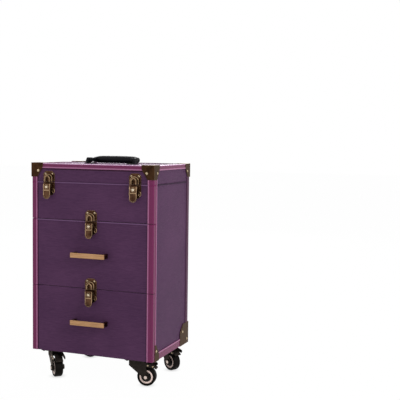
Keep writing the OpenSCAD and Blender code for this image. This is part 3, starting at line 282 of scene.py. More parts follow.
trim = {
    # top and edge place the crown band, a painted highlight on the trims' outer top edge; crown is its pale lilac
    # colour.
    "side": 0.18025, "front": 0.12525, "rear": 0.09, "top": 0.5803, "edge": 0.0016,
    "seams": (0.5315, 0.431), "seamHalf": 0.0022,
    "acrossEnd": 0.1628, "besideStart": 0.17, "besideEnd": 0.1048,
    # lip is a pale colour that paints the sheen on the trims' raised lips.
    "low": shade(98, 32, 70), "high": shade(114, 41, 84), "lip": shade(154, 96, 132),
    # The rear band and rear lip colours are painted shade: darker copies of the front colours for the trims' rear
    # strips.
    "rearBand": shade(84, 56, 76), "rearLip": shade(84, 58, 76), "crown": shade(206, 164, 200),
    # The side seam colour is painted shade: a near-black plum for the seam strips on the case's sides.
    "seamFront": shade(104, 74, 108), "seamSide": shade(50, 30, 52),
}
# Where the covers meet the trims: the limits of the painted shade band and its dark tone.
paintedCreaseShade = {"side": 0.1608, "top": 0.5654, "face": 0.1225, "tone": shade(50, 26, 44)}
coverLeather = coverFinish("purple leather", shade(66, 40, 68), shade(85, 54, 84), 0.46, paintedCreaseShade)
trimGloss = trimFinish("magenta trim", trim)
# The paler edge colours given to bronze, leverBronze, cornerBronze and blackSteel are partly rubbed metal, partly
# painted highlight.
bronze = metalFinish("antique bronze", shade(44, 26, 17), shade(84, 57, 40), (0.36, 0.52),
                     shade(166, 140, 110), 0.0011, tint=(1.0, 0.8, 0.66))
leverBronze = metalFinish("worn bronze", shade(52, 33, 23), shade(92, 66, 48), (0.34, 0.5),
                          shade(172, 148, 120), 0.0011, tint=(1.0, 0.8, 0.66))
# The raised latch rims take a brighter bronze than the plates: partly rubbed high points, partly painted
# highlight.
rimBronze = metalFinish("bright bronze rims", shade(132, 107, 80), shade(180, 151, 118), (0.28, 0.42))
# Dark bronze for the plug rings and keyholes: partly dark metal, partly painted shade.
darkBronzeAndShade = metalFinish("dark bronze ring", shade(34, 22, 14), shade(58, 40, 26), (0.4, 0.55))
cornerBronze = metalFinish("bronze corners", shade(36, 22, 13), shade(64, 43, 27), (0.36, 0.5),
                           shade(150, 120, 88), 0.0009, tint=(1.0, 0.9, 0.82))
brightMetal = metalFinish("polished steel", shade(206, 196, 184), shade(236, 228, 216), (0.18, 0.32))
plugMetal = metalFinish("pale brass plugs", shade(226, 206, 176), shade(246, 232, 208), (0.34, 0.46))
rivetMetal = metalFinish("dull brass rivets", shade(150, 132, 104), shade(196, 178, 148), (0.3, 0.45))
zinc = metalFinish("zinc steel", shade(150, 150, 152), shade(196, 196, 198), (0.28, 0.42))
# The pulls' gold front and dark legs: partly two metal colours, partly painted light, with the front lit and the
# sides in painted shade.
pullGold = metalFinish("champagne gold", shade(150, 111, 76), shade(186, 144, 104), (0.32, 0.44),
                       metallic=0.75, brushed=(30, 30, 900))
pullDarkAndShade = metalFinish("dark bronze legs", shade(48, 22, 16), shade(74, 38, 26), (0.4, 0.55))
blackPlastic = mouldedFinish("black plastic", (0.003, 0.003, 0.004), 0.46, gloss=0.12)
blackTube = metalFinish("black anodised tube", (0.005, 0.005, 0.0055), (0.014, 0.014, 0.015), (0.30, 0.42),
                        metallic=0.5, brushed=(900, 900, 6), tint=(0.6, 0.58, 0.6))
blackSteel = metalFinish("black steel", (0.008, 0.006, 0.005), (0.020, 0.016, 0.014), (0.36, 0.52),
                         (0.09, 0.08, 0.07), metallic=0.7, tint=(0.7, 0.6, 0.55))
gripLeather = mouldedFinish("black leather grip", (0.003, 0.003, 0.004), 0.46, 520, 0.0005, 2.2, 0.1)
tyreRubber = mouldedFinish("black tyre", (0.003, 0.0022, 0.002), 0.5, 700, 0.0002, 2.0, 0.05)
ringPlastic = mouldedFinish("pale wheel ring", shade(232, 208, 198), 0.4, 900, 0.0001, 1.1)
capMetal = metalFinish("axle caps", shade(206, 188, 178), shade(232, 216, 206), (0.3, 0.42))
boardCloth = clothFinish("black board cloth", (0.022, 0.018, 0.024))
velvet = clothFinish("velvet lining", (0.030, 0.022, 0.034))
threadFinish = mouldedFinish("thread", (0.03, 0.03, 0.032), 0.7, 2500, 0.0001)
print("finishes made")


# Making pieces

def newPiece(name, mesh, finish):
    piece = bpy.data.objects.new(name, mesh)
    bpy.context.scene.collection.objects.link(piece)
    mesh.materials.clear()
    mesh.materials.append(finish)
    return piece


def fromBmesh(name, shape, finish, smooth=True):
    mesh = bpy.data.meshes.new(name)
    shape.to_mesh(mesh)
    shape.free()
    if smooth:
        mesh.shade_smooth()
        mesh.set_sharp_from_angle(angle=math.radians(35))
    return newPiece(name, mesh, finish)


def settle(piece):  # live modifiers become a plain mesh
    bpy.context.view_layer.update()
    evaluated = piece.evaluated_get(bpy.context.evaluated_depsgraph_get())
    mesh = bpy.data.meshes.new_from_object(evaluated)
    finish = piece.data.materials[0]
    piece.modifiers.clear()
    piece.data = mesh
    mesh.materials.clear()
    mesh.materials.append(finish)
    return piece


def rounded(piece, width, segments=2):
    bevel = piece.modifiers.new("rounding", "BEVEL")
    bevel.width = width
    bevel.segments = segments
    bevel.limit_method = "ANGLE"
    bevel.angle_limit = math.radians(30)
    normals = piece.modifiers.new("normals", "WEIGHTED_NORMAL")
    normals.keep_sharp = False
    return settle(piece)


def mergedCopy(node):
    shape = bmesh.new()
    shape.from_mesh(nodes[node].data)
    bmesh.ops.remove_doubles(shape, verts=shape.verts, dist=0.000002)
    bmesh.ops.dissolve_limit(shape, angle_limit=math.radians(0.6), verts=shape.verts, edges=shape.edges)
    return shape


def dress(node, finish, width):
    piece = fromBmesh(node + "_dressed", mergedCopy(node), finish)
    rounded(piece, width)
    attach(piece, bodyOf[node])
    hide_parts(node)
    return piece


dressed = {
    "covers": {"finish": coverLeather, "round": 0.0009, "nodes": [
        "side_panels", "back_panel", "tier_front", "lid_shell", "upper_drawer_front", "lower_drawer_front"]},
    "boards": {"finish": boardCloth, "round": 0.0006, "nodes": [
        "bottom_panel", "shelves", "upper_drawer_box", "lower_drawer_box"]},
    "trims": {"finish": trimGloss, "round": 0.00035, "nodes": [
        "case_trims", "lid_trims", "upper_drawer_trims", "lower_drawer_trims"]},
    "corners": {"finish": cornerBronze, "round": 0.0005, "nodes": ["base_corners", "lid_corners"]},
    "latches": {"finish": bronze, "round": 0.0003, "nodes": [
        "case_latch_plates", "lid_catches", "upper_drawer_latch_plates", "lower_drawer_latch_base",
        "lower_hinges", "upper_hinges"]},
    "levers": {"finish": leverBronze, "round": 0.0003, "nodes": [
        "lid_lever_left", "lid_lever_right", "upper_drawer_lever", "lower_drawer_lever"]},
    "plugs": {"finish": plugMetal, "round": 0.0003, "nodes": [
        "lid_plug_left", "lid_plug_right", "upper_drawer_plug", "lower_drawer_plug"]},
    "runners": {"finish": zinc, "round": 0.0002, "nodes": [
        "case_runners", "upper_drawer_runners", "lower_drawer_runners"]},
    "tubes": {"finish": blackTube, "round": 0.0002, "nodes": [
        "trolley_outer_tubes", "trolley_middle_tubes", "trolley_inner_tubes"]},
    "mouldings": {"finish": blackPlastic, "round": 0.0006, "nodes": [
        "handle_mounts", "trolley_brackets", "trolley_grip", "trolley_button"]},
    "casterSteel": {"finish": blackSteel, "round": 0.0004, "nodes": [
        "caster_plates", *[f"caster_{i}_{part}" for i in range(1, 5) for part in ("fork", "brake")]]},
    "pulls": {"finish": pullDarkAndShade, "round": 0.0006, "nodes": ["upper_drawer_pull", "lower_drawer_pull"]},
}
for group in dressed.values():
    for node in group["nodes"]:
        dress(node, group["finish"], group["round"])
print("CAD pieces dressed")


# Shapes turned on a lathe

def lathe(profile, steps=48, closed=False):
    shape = bmesh.new()
    rings = []
    for radius, height in profile:
        count = steps if radius > 0 else 1
        turns = [2 * math.pi * k / steps for k in range(count)]
        rings.append([shape.verts.new((radius * math.cos(t), radius * math.sin(t), height)) for t in turns])
    for low, high in zip(rings, rings[1:] + rings[:1] if closed else rings[1:]):
        for k in range(steps):
            below = [low[j % len(low)] for j in (k, k + 1)]
            above = [high[j % len(high)] for j in (k + 1, k)]
            shape.faces.new(list(dict.fromkeys(below + above)))
    bmesh.ops.recalc_face_normals(shape, faces=shape.faces)
    return shape


def disc(radius, length):
    return lathe([(0, 0), (radius, 0), (radius, length), (0, length)], 24)


def stand(shape, place, axis):
    turn = Vector((0, 0, 1)).rotation_difference(Vector(axis)).to_matrix().to_4x4()
    bmesh.ops.transform(shape, matrix=Matrix.Translation(place) @ turn, verts=shape.verts)
    return shape


def sweep(stations, steps=20, power=1.0):  # one ring of points at each station, closed at both ends
    shape = bmesh.new()
    rings = []
    for centre, side, up in stations:
        ring = []
        for k in range(steps):
            turn = 2 * math.pi * k / steps
            across, above = math.cos(turn), math.sin(turn)
            across, above = (math.copysign(abs(v) ** power, v) for v in (across, above))
            ring.append(shape.verts.new(centre + side * across + up * above))
        rings.append(ring)
    for low, high in zip(rings, rings[1:]):
        for k in range(steps):
            shape.faces.new([low[k], low[(k + 1) % steps], high[(k + 1) % steps], high[k]])
    for ring in (rings[0], rings[-1]):
        shape.faces.new(ring)
    bmesh.ops.recalc_face_normals(shape, faces=shape.faces)
    return shape


def wire(points, facing, radius):  # a round rod along points, rounded at its ends
    stations = []
    last = len(points) - 1
    for k, point in enumerate(points):
        along = (points[min(k + 1, last)] - points[max(k - 1, 0)]).normalized()
        side = along.cross(facing).normalized()
        stations.append((point, side * radius, side.cross(along) * radius))
    for at, step in ((0, -1), (-1, 1)):
        centre, side, up = stations[at]
        along = side.cross(up).normalized() * (radius * step)
        if along.dot(points[at] - points[at - step]) < 0:
            along = -along
        tip = [(centre + along * math.sin(a), side * math.cos(a), up * math.cos(a)) for a in (0.7, 1.2, 1.5)]
        stations = [*reversed(tip), *stations] if at == 0 else [*stations, *tip]
    return sweep(stations, 10)


def joined(shapes):
    whole = bmesh.new()
    for shape in shapes:
        mesh = bpy.data.meshes.new("part")
        shape.to_mesh(mesh)
        shape.free()
        whole.from_mesh(mesh)
        bpy.data.meshes.remove(mesh)
    return whole


def jointOf(child):
    return next(j for j in frame["joints"] if j["child"] == child)


# Casters

wheel = {
    "tyre": [(18, -8), (18, 8), (18.4, 10.4), (19.6, 11), (22.6, 10.9), (24.2, 9.6), (25, 7.2), (25, 3),
             (24.8, 0), (25, -3), (25, -7.2), (24.2, -9.6), (22.6, -10.9), (19.6, -11), (18.4, -10.4)],
    "ring": [(13.3, 8.4), (13.3, 9.3), (13.8, 10.1), (15.6, 10.6), (17.3, 10.3), (18.1, 9.6), (18.1, 8.4)],
    "disc": [(4.1, -8.6), (4.1, 8.6), (6.4, 10.2), (8.2, 10.2), (9.0, 9.2), (12.7, 8.9), (18.2, 8.6),
             (18.2, -8.6), (12.7, -8.9), (9.0, -9.2), (8.2, -10.2), (6.4, -10.2)],
    "cap": [(5.8, -0.3), (5.8, 1.4), (5.3, 2.4), (4.0, 3.1), (2.2, 3.4), (1.2, 3.3), (0, 3.1)],
    "capStart": 14.7,
}


def turned(part, steps, closed, place, axis):  # the wheel's profiles are in millimetres
    profile = [(radius / 1000, height / 1000) for radius, height in wheel[part]]
    return stand(lathe(profile, steps, closed), place, axis)


def makeWheel(i):
    joint = jointOf(f"caster_{i}_wheel")
    centre, axle = Vector(joint["pos_m"]), Vector(joint["axis"])
    tyre = fromBmesh(f"wheel_{i}_tyre", turned("tyre", 72, True, centre, axle), tyreRubber)
    hub = fromBmesh(f"wheel_{i}_disc", turned("disc", 64, True, centre, axle), blackPlastic)
    rings = joined([turned("ring", 64, True, centre, axle * side) for side in (1, -1)])
    ring = fromBmesh(f"wheel_{i}_rings", rings, ringPlastic)
    for piece in (tyre, hub, ring):
        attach(piece, f"caster_{i}_wheel")
    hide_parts(f"caster_{i}_wheel")
    for side, label in ((1, "nut"), (-1, "head")):
        facing = axle * side
        cap = turned("cap", 40, False, centre + facing * wheel["capStart"] / 1000, facing)
        cap = fromBmesh(f"caster_{i}_axle_{label}", cap, capMetal)
        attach(cap, f"caster_{i}")


for i in range(1, 5):
    makeWheel(i)
print("wheels made")


# The brake pedals' ears, outside the fork legs, with their rivets

pedal = {
    "out": 0.0150, "thick": 0.0011, "round": 0.0003,
    "pin": (0.016, 0.0598, 0.0058), "end": (0.0450, 0.0548, 0.0046),
    "rivets": ((0.0295, 0.0572), (0.0430, 0.0550)),
    "dome": [(0, -0.0003), (0.0023, -0.0003), (0.0022, 0.0006), (0.0015, 0.0013), (0, 0.0016)],
}


def capsule(start, end, out, thick, place):
    shape = bmesh.new()
    corners = []
    slope = math.atan2(end[1] - start[1], end[0] - start[0])
    for (x, z, radius), base in ((start, math.pi / 2), (end, -math.pi / 2)):
        for k in range(13):
            turn = slope + base + math.pi * k / 12
            corners.append((x + radius * math.cos(turn), z + radius * math.sin(turn)))
    faces = [[shape.verts.new(place(x, y, z)) for x, z in corners] for y in (out, out + thick)]
    shape.faces.new(faces[0])
    shape.faces.new(faces[1])
    for k in range(len(corners)):
        following = (k + 1) % len(corners)
        shape.faces.new([faces[0][k], faces[0][following], faces[1][following], faces[1][k]])
    bmesh.ops.recalc_face_normals(shape, faces=shape.faces)
    return shape


def makePedal(i):
    pivot = Vector(jointOf(f"caster_{i}")["pos_m"])
    wheelJoint = jointOf(f"caster_{i}_wheel")
    hub, axle = Vector(wheelJoint["pos_m"]), Vector(wheelJoint["axis"])
    along = Vector((hub.x - pivot.x, hub.y - pivot.y, 0)).normalized()
    ground = Vector((pivot.x, pivot.y, 0))

    def fromPivot(x, y, z):
        return ground + along * x + axle * y + Vector((0, 0, z))

    ears, pins = [], []
    for side in (1, -1):
        out = pedal["out"] if side > 0 else -pedal["out"] - pedal["thick"]
        ears.append(capsule(pedal["pin"], pedal["end"], out, pedal["thick"], fromPivot))
        for x, z in pedal["rivets"]:
            foot = fromPivot(x, side * (pedal["out"] + pedal["thick"]), z)
            pins.append(stand(lathe(pedal["dome"], 24), foot, axle * side))
    ear = fromBmesh(f"caster_{i}_pedal_ears", joined(ears), blackSteel)
    rounded(ear, pedal["round"])
    pin = fromBmesh(f"caster_{i}_pedal_rivets", joined(pins), rivetMetal)
    for piece, slot in ((ear, "caster_steel"), (pin, "bright_steel")):
        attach(piece, f"caster_{i}_brake")


for i in range(1, 5):
    makePedal(i)
print("pedals made")


# Rivets and screws

screw = {
    "latchApart": 0.0105, "latchFront": -0.1250, "latchUp": 0.021,
    "latchRadius": 0.0028, "latchHeight": 0.0015,
    "under": 0.0026, "rivetHeight": 0.00145, "mountReach": 0.08, "middle": 0.3,
    "head": [(0, -0.2), (1, -0.2), (1, 0.25), (0.94, 0.5), (0.78, 0.78), (0.5, 0.95), (0, 1)],
    "slots": ((1.3, 0.22, 1.0), (0.22, 1.3, 1.0)),
    "rivet": [(0, -0.1), (1.16, -0.1), (1.16, 0.08), (1, 0.14), (0.98, 0.4),
              (0.84, 0.7), (0.58, 0.92), (0.3, 0.99), (0, 1)],
}


def islands(node):  # the low and high corner of each loose solid in a node
    shape = mergedCopy(node)
    shape.verts.ensure_lookup_table()
    left = set(shape.verts)
    found = []
    while left:
        group, edge = [], [left.pop()]
        while edge:
            vert = edge.pop()
            group.append(vert.co.copy())
            for link in vert.link_edges:
                other = link.other_vert(vert)
                if other in left:
                    left.remove(other)
                    edge.append(other)
        found.append((Vector(map(min, *group)), Vector(map(max, *group))))
    shape.free()
    return sorted(found, key=lambda box: [round(v, 5) for v in box[0]])  # the same order on every run


def headSpot(low, high):
    size = high - low
    axis = min(range(3), key=lambda k: size[k])
    facing = Vector((0, 0, 0))
    middle = (low + high) / 2
    facing[axis] = 1 if middle[axis] > (screw["middle"] if axis == 2 else 0) else -1
    foot = middle - facing * size[axis] / 2
    return {"foot": foot, "facing": facing, "radius": max(size) / 2, "height": size[axis]}


def spotMesh(name, spots):
    mesh = bpy.data.meshes.new(name)
    mesh.from_pydata([s["foot"] for s in spots], [], [])
    facing = mesh.attributes.new("facing", "FLOAT_VECTOR", "POINT")
    for item, spot in zip(facing.data, spots):
        item.vector = spot["facing"]
    stretch = mesh.attributes.new("stretch", "FLOAT_VECTOR", "POINT")
    for item, spot in zip(stretch.data, spots):
        item.vector = (spot["radius"], spot["radius"], spot["height"])
    return mesh


def headTree():
    tree = Shaper("heads", {"Head": "Object", "Seed": "Int"})
    head = tree.add("GeometryNodeObjectInfo", None, {"Object": tree.given("Head")}, "Geometry")
    turn = tree.add("FunctionNodeAlignRotationToVector", {"axis": "Z"}, {"Vector": tree.named("facing")})
    spin = tree.add("FunctionNodeRandomValue", {"data_type": "FLOAT"},
                    {"Min": 0.0, "Max": 6.283, "Seed": tree.given("Seed")}, 1)
    twist = tree.add("FunctionNodeAxisAngleToRotation", None, {"Axis": (0, 0, 1), "Angle": spin})
    turn = tree.add("FunctionNodeRotateRotation", {"rotation_space": "LOCAL"}, [turn, twist])
    heads = tree.add("GeometryNodeInstanceOnPoints", None, {
        "Points": tree.given("Geometry"), "Instance": head, "Rotation": turn, "Scale": tree.named("stretch")})
    tree.close(heads)
    return tree


def crossHead():
    head = fromBmesh("screw_source", lathe(screw["head"], 32), brightMetal)
    slots = bmesh.new()
    for size in screw["slots"]:
        made = bmesh.ops.create_cube(slots, size=1)["verts"]
        bmesh.ops.scale(slots, vec=size, verts=made)
        bmesh.ops.translate(slots, vec=(0, 0, 1.0), verts=made)
    cutter = fromBmesh("slot_source", slots, brightMetal, False)
    cut = head.modifiers.new("slots", "BOOLEAN")
    cut.object = cutter
    cut.operation = "DIFFERENCE"
    cut.solver = "EXACT"
    cut.use_self = True
    settle(head)
    bpy.data.objects.remove(cutter)
    head.data.shade_smooth()
    head.data.set_sharp_from_angle(angle=math.radians(30))
    return head


def latchSpots(x, seam):
    spots = []
    for side in (-1, 1):
        foot = Vector((x + side * screw["latchApart"], screw["latchFront"], seam + screw["latchUp"]))
        spots.append({"foot": foot, "facing": Vector((0, -1, 0)),
                      "radius": screw["latchRadius"], "height": screw["latchHeight"]})
    return spots


seams = {"lid": 0.533, "upper": 0.4325, "lower": 0.2515}
latchX = 0.127
caseHeads = [headSpot(*box) for box in islands("case_screws")]
lidHeads = [headSpot(*box) for box in islands("lid_screws")]


def isRivet(spot):
    return spot["height"] > screw["rivetHeight"] and spot["facing"].z == 0


def isUnder(spot):
    return spot["facing"].z < 0


def onMount(spot):
    return abs(spot["foot"].x) < screw["mountReach"] and spot["facing"].z > 0


for spot in caseHeads:
    if isUnder(spot):
        spot["height"] = screw["under"]
headSets = [
    {"name": "case_rivets", "body": "case", "kind": "rivet", "finish": rivetMetal,
     "spots": [s for s in caseHeads if isRivet(s)]},
    {"name": "case_screw_heads", "body": "case", "kind": "screw",
     "spots": [s for s in caseHeads if not isRivet(s) and not isUnder(s)]},
    {"name": "caster_plate_screws", "body": "case", "kind": "screw", "finish": blackSteel,
     "spots": [s for s in caseHeads if isUnder(s)]},
    {"name": "case_latch_screws", "body": "case", "kind": "screw", "finish": rivetMetal,
     "spots": latchSpots(0, seams["upper"])},
    {"name": "lid_rivets", "body": "lid", "kind": "rivet", "finish": rivetMetal,
     "spots": [s for s in lidHeads if isRivet(s)]},
    {"name": "mount_screw_heads", "body": "lid", "kind": "screw", "finish": blackSteel,
     "spots": [s for s in lidHeads if onMount(s)]},
    {"name": "lid_screw_heads", "body": "lid", "kind": "screw",
     "spots": [s for s in lidHeads if not isRivet(s) and not onMount(s)]},
    {"name": "lid_latch_screws", "body": "lid", "kind": "screw", "finish": rivetMetal,
     "spots": [*latchSpots(latchX, seams["lid"]), *latchSpots(-latchX, seams["lid"])]},
    {"name": "upper_drawer_latch_screws", "body": "upper_drawer", "kind": "screw", "finish": rivetMetal,
     "spots": latchSpots(0, seams["lower"])},
]
heads = headTree()
sources = {
    "rivet": fromBmesh("rivet_source", lathe(screw["rivet"], 32), brightMetal),
    "screw": crossHead(),
}
standsFor = {"case_rivets": "case_screws", "lid_rivets": "lid_screws"}
for number, row in enumerate(headSets):
    mesh = spotMesh(row["name"], row["spots"])
    finish = row.get("finish", brightMetal)
    piece = heads.grow(row["name"], mesh, finish, Head=sources[row["kind"]], Seed=number)
    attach(piece, row["body"])
    if row["name"] in standsFor:
        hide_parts(standsFor[row["name"]])
for source in sources.values():
    bpy.data.objects.remove(source)
print("rivets and screws made")


# Raised rims on the latches, measured from the seam and from the covers' front; their brighter bronze is partly
# rubbed high points, partly painted highlight

rims = {
    "outerArch": {"half": 0.0112, "foot": 0.0012, "spring": 0.0105, "peak": 0.0,
                  "depth": 0.0060, "radius": 0.0012},
    "innerArch": {"half": 0.0066, "foot": 0.0012, "spring": 0.0085, "peak": 0.0026,
                  "depth": 0.0110, "radius": 0.0012},
    "lever": {"half": 0.0093, "top": -0.0062, "waist": -0.0182, "tab": -0.0355,
              "depth": 0.0142, "radius": 0.0009},
    "bar": {"half": 0.0072, "height": -0.0226, "depth": 0.0150, "radius": 0.0013},
    "collar": {"height": -0.0135, "depth": 0.0151, "size": 0.0055, "tall": 1.0, "radius": 0.0007},
    "wing": {"x": 0.0134, "height": -0.0245, "depth": 0.0016, "size": 0.0033, "tall": 1.7, "radius": 0.0010},
    "plug": {"height": -0.0135, "depth": 0.0156, "size": 0.0038, "tall": 1.0, "radius": 0.0006},
    "keyhole": {"size": (0.0007, 0.0006, 0.0022), "sunk": 0.0003},
}
front = -0.1235
outward = Vector((0, -1, 0))


def archPath(x, seam, rim):
    half, depth = rim["half"], front - rim["depth"]
    path = [Vector((x - half, depth, seam + rim["foot"]))]
    for k in range(17):
        turn = math.pi * (1 - k / 16)
        lift = rim["peak"] * (1 - abs(k / 8 - 1)) ** 1.5
        height = seam + rim["spring"] + half * 0.8 * math.sin(turn) + lift
        path.append(Vector((x + half * math.cos(turn), depth, height)))
    return [*path, Vector((x + half, depth, seam + rim["foot"]))]


def loopPath(x, seam, rim):
    size, middle = rim["size"], seam + rim["height"]
    path = []
    for k in range(25):
        turn = 2 * math.pi * k / 24
        height = middle + rim["tall"] * size * math.sin(turn)
        path.append(Vector((x + size * math.cos(turn), front - rim["depth"], height)))
    return path


def leverPath(x, seam, rim):
    half, depth = rim["half"], front - rim["depth"]
    path = [Vector((x - half, depth, seam + rim[level])) for level in ("top", "waist", "tab")]
    for k in range(1, 12):
        turn = math.pi * (1 + k / 12)
        path.append(Vector((x + half * math.cos(turn), depth, seam + rim["tab"] + half * math.sin(turn))))
    return path + [Vector((x + half, depth, seam + rim[level])) for level in ("tab", "waist", "top")]


def rod(path, rim):
    return wire(path, outward, rim["radius"])


def addRims(name, body, shapes, finish=rimBronze):
    piece = fromBmesh(name, joined(shapes), finish)
    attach(piece, body)


latches = [
    {"name": "lid_left", "x": -latchX, "seam": seams["lid"], "upper": "lid", "lower": "case",
     "lever": "lid_lever_left", "plug": "lid_plug_left"},
    {"name": "lid_right", "x": latchX, "seam": seams["lid"], "upper": "lid", "lower": "case",
     "lever": "lid_lever_right", "plug": "lid_plug_right"},
    {"name": "upper_drawer", "x": 0.0, "seam": seams["upper"], "upper": "case", "lower": "upper_drawer",
     "lever": "upper_drawer_lever", "plug": "upper_drawer_plug"},
    {"name": "lower_drawer", "x": 0.0, "seam": seams["lower"], "upper": "upper_drawer",
     "lower": "lower_drawer", "lever": "lower_drawer_lever", "plug": "lower_drawer_plug"},
]


def archRims(latch):
    shapes = [rod(archPath(latch["x"], latch["seam"], rims[which]), rims[which])
              for which in ("outerArch", "innerArch")]
    addRims(latch["name"] + "_arch_rims", latch["upper"], shapes)


def leverRims(latch):
    x, seam = latch["x"], latch["seam"]
    lever, bar, collar = rims["lever"], rims["bar"], rims["collar"]
    ends = [Vector((x + side * bar["half"], front - bar["depth"], seam + bar["height"])) for side in (-1, 1)]
    shapes = [rod(leverPath(x, seam, lever), lever), rod(ends, bar), rod(loopPath(x, seam, collar), collar)]
    addRims(latch["name"] + "_lever_rims", latch["lever"], shapes)


# The dark ring round each plug is partly dark metal, partly painted shade at the plug's rim; the dark slot is
# painted shade standing in for the keyhole.
def keyholeRim(latch):
    x, seam, plug, keyhole = latch["x"], latch["seam"], rims["plug"], rims["keyhole"]
    slot = bmesh.new()
    bmesh.ops.create_cube(slot, size=1)
    bmesh.ops.scale(slot, vec=keyhole["size"], verts=slot.verts)
    place = Vector((x, front - plug["depth"] + keyhole["sunk"], seam + plug["height"]))
    bmesh.ops.translate(slot, vec=place, verts=slot.verts)
    addRims(latch["name"] + "_keyhole", latch["plug"], [rod(loopPath(x, seam, plug), plug), slot], darkBronzeAndShade)


def wingRims(latch):
    wing = rims["wing"]
    shapes = [rod(loopPath(latch["x"] + side * wing["x"], latch["seam"], wing), wing) for side in (-1, 1)]
    addRims(latch["name"] + "_wing_rims", latch["lower"], shapes)


for latch in latches:
    archRims(latch)
    leverRims(latch)
    keyholeRim(latch)
    wingRims(latch)
print("latch rims made")


# Drawer pulls: a metal strip over the front of each bar. The gold strip and the dark legs and sides are partly two
# metal colours, partly painted light: a lit front and painted shade on the sides

strip = {"over": (0.0006, 0.0004, 0.0006), "thick": 0.0042, "round": 0.0011}


def pullStrip(drawer):
    low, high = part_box(drawer + "_pull")
    over = Vector(strip["over"])
    low, high = low - over, Vector((high.x, low.y + strip["thick"], high.z)) + over
    shape = bmesh.new()
    bmesh.ops.create_cube(shape, size=1)
    bmesh.ops.scale(shape, vec=high - low, verts=shape.verts)
    bmesh.ops.translate(shape, vec=(low + high) / 2, verts=shape.verts)
    piece = rounded(fromBmesh(drawer + "_pull_strip", shape, pullGold), strip["round"], 3)
    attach(piece, drawer)


for drawer in ("upper_drawer", "lower_drawer"):
    pullStrip(drawer)
print("pulls made")


# Spring pins of the trolley's upper stage, seen through the holes of its middle tubes

springPin = {"x": 0.0685, "back": 0.13465, "height": 0.2193, "radius": 0.0018, "length": 0.00047}


def makeSpringPins():
    shapes = []
    for side in (-1, 1):
        place = Vector((side * springPin["x"], springPin["back"], springPin["height"]))
        shapes.append(stand(disc(springPin["radius"], springPin["length"]), place, (0, -1, 0)))
    piece = fromBmesh("trolley_spring_pins", joined(shapes), brightMetal)
    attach(piece, "trolley_inner")


makeSpringPins()
print("spring pins made")


# Carry handle: padded grip, arms with eyes, and a row of stitches

pivot = Vector(jointOf("carry_handle")["pos_m"])
handle = {
    "reach": 0.034, "half": 0.0645, "deep": 0.0124, "tall": 0.0101, "crown": 0.0006, "square": 0.82,
    "armX": 0.0629, "armHalf": 0.0046, "eye": 0.0063, "pinX": 0.0585, "pin": 0.0036, "pinLength": 0.0152,
    "cuffDeep": 0.0104, "cuffTall": 0.0076,
    "arm": ((-0.0052, 0.3, 0.3), (-0.0045, 0.8, 0.75), (-0.002, 1, 1), (0.006, 0.92, 0.86),
            (0.016, 0.86, 0.9), (0.026, 1.0, 1.15), (0.034, 1.05, 1.2), (0.040, 0.9, 1.0), (0.043, 0.5, 0.6)),
    "cuff": ((0.0545, 0.96), (0.0552, 1.0), (0.0618, 0.93), (0.0668, 0.72), (0.0676, 0.5)),
    "stitches": 19, "stitchEnd": 0.86, "stitchLean": 52, "stitchStart": 0.0026, "stitch": 0.0042,
    "thread": 0.00055,
}
gripMiddle = pivot + Vector((0, handle["reach"], 0))


# The grip's half depth, half height and rise, from its left end, at -1, to its right end, at 1
def gripSection(t):
    swell = 0.30 + 0.70 * (1 - abs(t) ** 12) ** 0.5
    belly = 1 - 0.04 * t * t
    ripple = 1 + 0.012 * math.sin(23 * t)
    deep, tall = handle["deep"] * swell * belly * ripple, handle["tall"] * swell * belly
    return deep, tall, handle["crown"] * (1 - t * t)


def makeGrip():
    stations = []
    for k in range(33):
        t = -1 + k / 16
        deep, tall, rise = gripSection(t)
        middle = gripMiddle + Vector((t * handle["half"], 0, rise))
        stations.append((middle, Vector((0, deep, 0)), Vector((0, 0, tall))))
    return fromBmesh("carry_handle_grip", sweep(stations, 28, handle["square"]), gripLeather)


def makeArm(side):
    arm = []
    for y, wide, tall in handle["arm"]:
        middle = pivot + Vector((side * handle["armX"], y, 0))
        arm.append((middle, Vector((handle["armHalf"] * wide, 0, 0)), Vector((0, 0, handle["eye"] * tall))))
    inner = pivot + Vector((side * handle["pinX"], 0, 0))
    pin = stand(disc(handle["pin"], handle["pinLength"]), inner, (side, 0, 0))
    cuff = []
    for x, size in handle["cuff"]:
        middle = pivot + Vector((side * x, handle["reach"], 0))
        deep, tall = handle["cuffDeep"] * size, handle["cuffTall"] * size
        cuff.append((middle, Vector((0, deep, 0)), Vector((0, 0, tall))))
    return [sweep(arm, 20, 0.75), pin, sweep(cuff, 28, handle["square"])]


pad = makeGrip()
armPiece = fromBmesh("carry_handle_arms", joined([*makeArm(-1), *makeArm(1)]), blackPlastic)
for piece in (pad, armPiece):
    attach(piece, "carry_handle")
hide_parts("carry_handle")


def stitchTree():
    tree = Shaper("stitches", {"Radius": "Float", "Length": "Float"})
    reach = tree.given("Length")
    straight = tree.add("GeometryNodeCurvePrimitiveLine", {"mode": "DIRECTION"},
                        {"Start": (0, 0, 0), "Direction": (1, 0, 0), "Length": reach})
    circle = tree.add("GeometryNodeCurvePrimitiveCircle", {"mode": "RADIUS"},
                      {"Resolution": 8, "Radius": tree.given("Radius")})
    stitch = tree.add("GeometryNodeCurveToMesh", None,
                      {"Curve": straight, "Profile Curve": circle, "Fill Caps": True})
    turn = tree.add("FunctionNodeAlignRotationToVector", {"axis": "X"}, {"Vector": tree.named("facing")})
    sewn = tree.add("GeometryNodeInstanceOnPoints", None,
                    {"Points": tree.given("Geometry"), "Instance": stitch, "Rotation": turn})
    tree.close(sewn)
    return tree


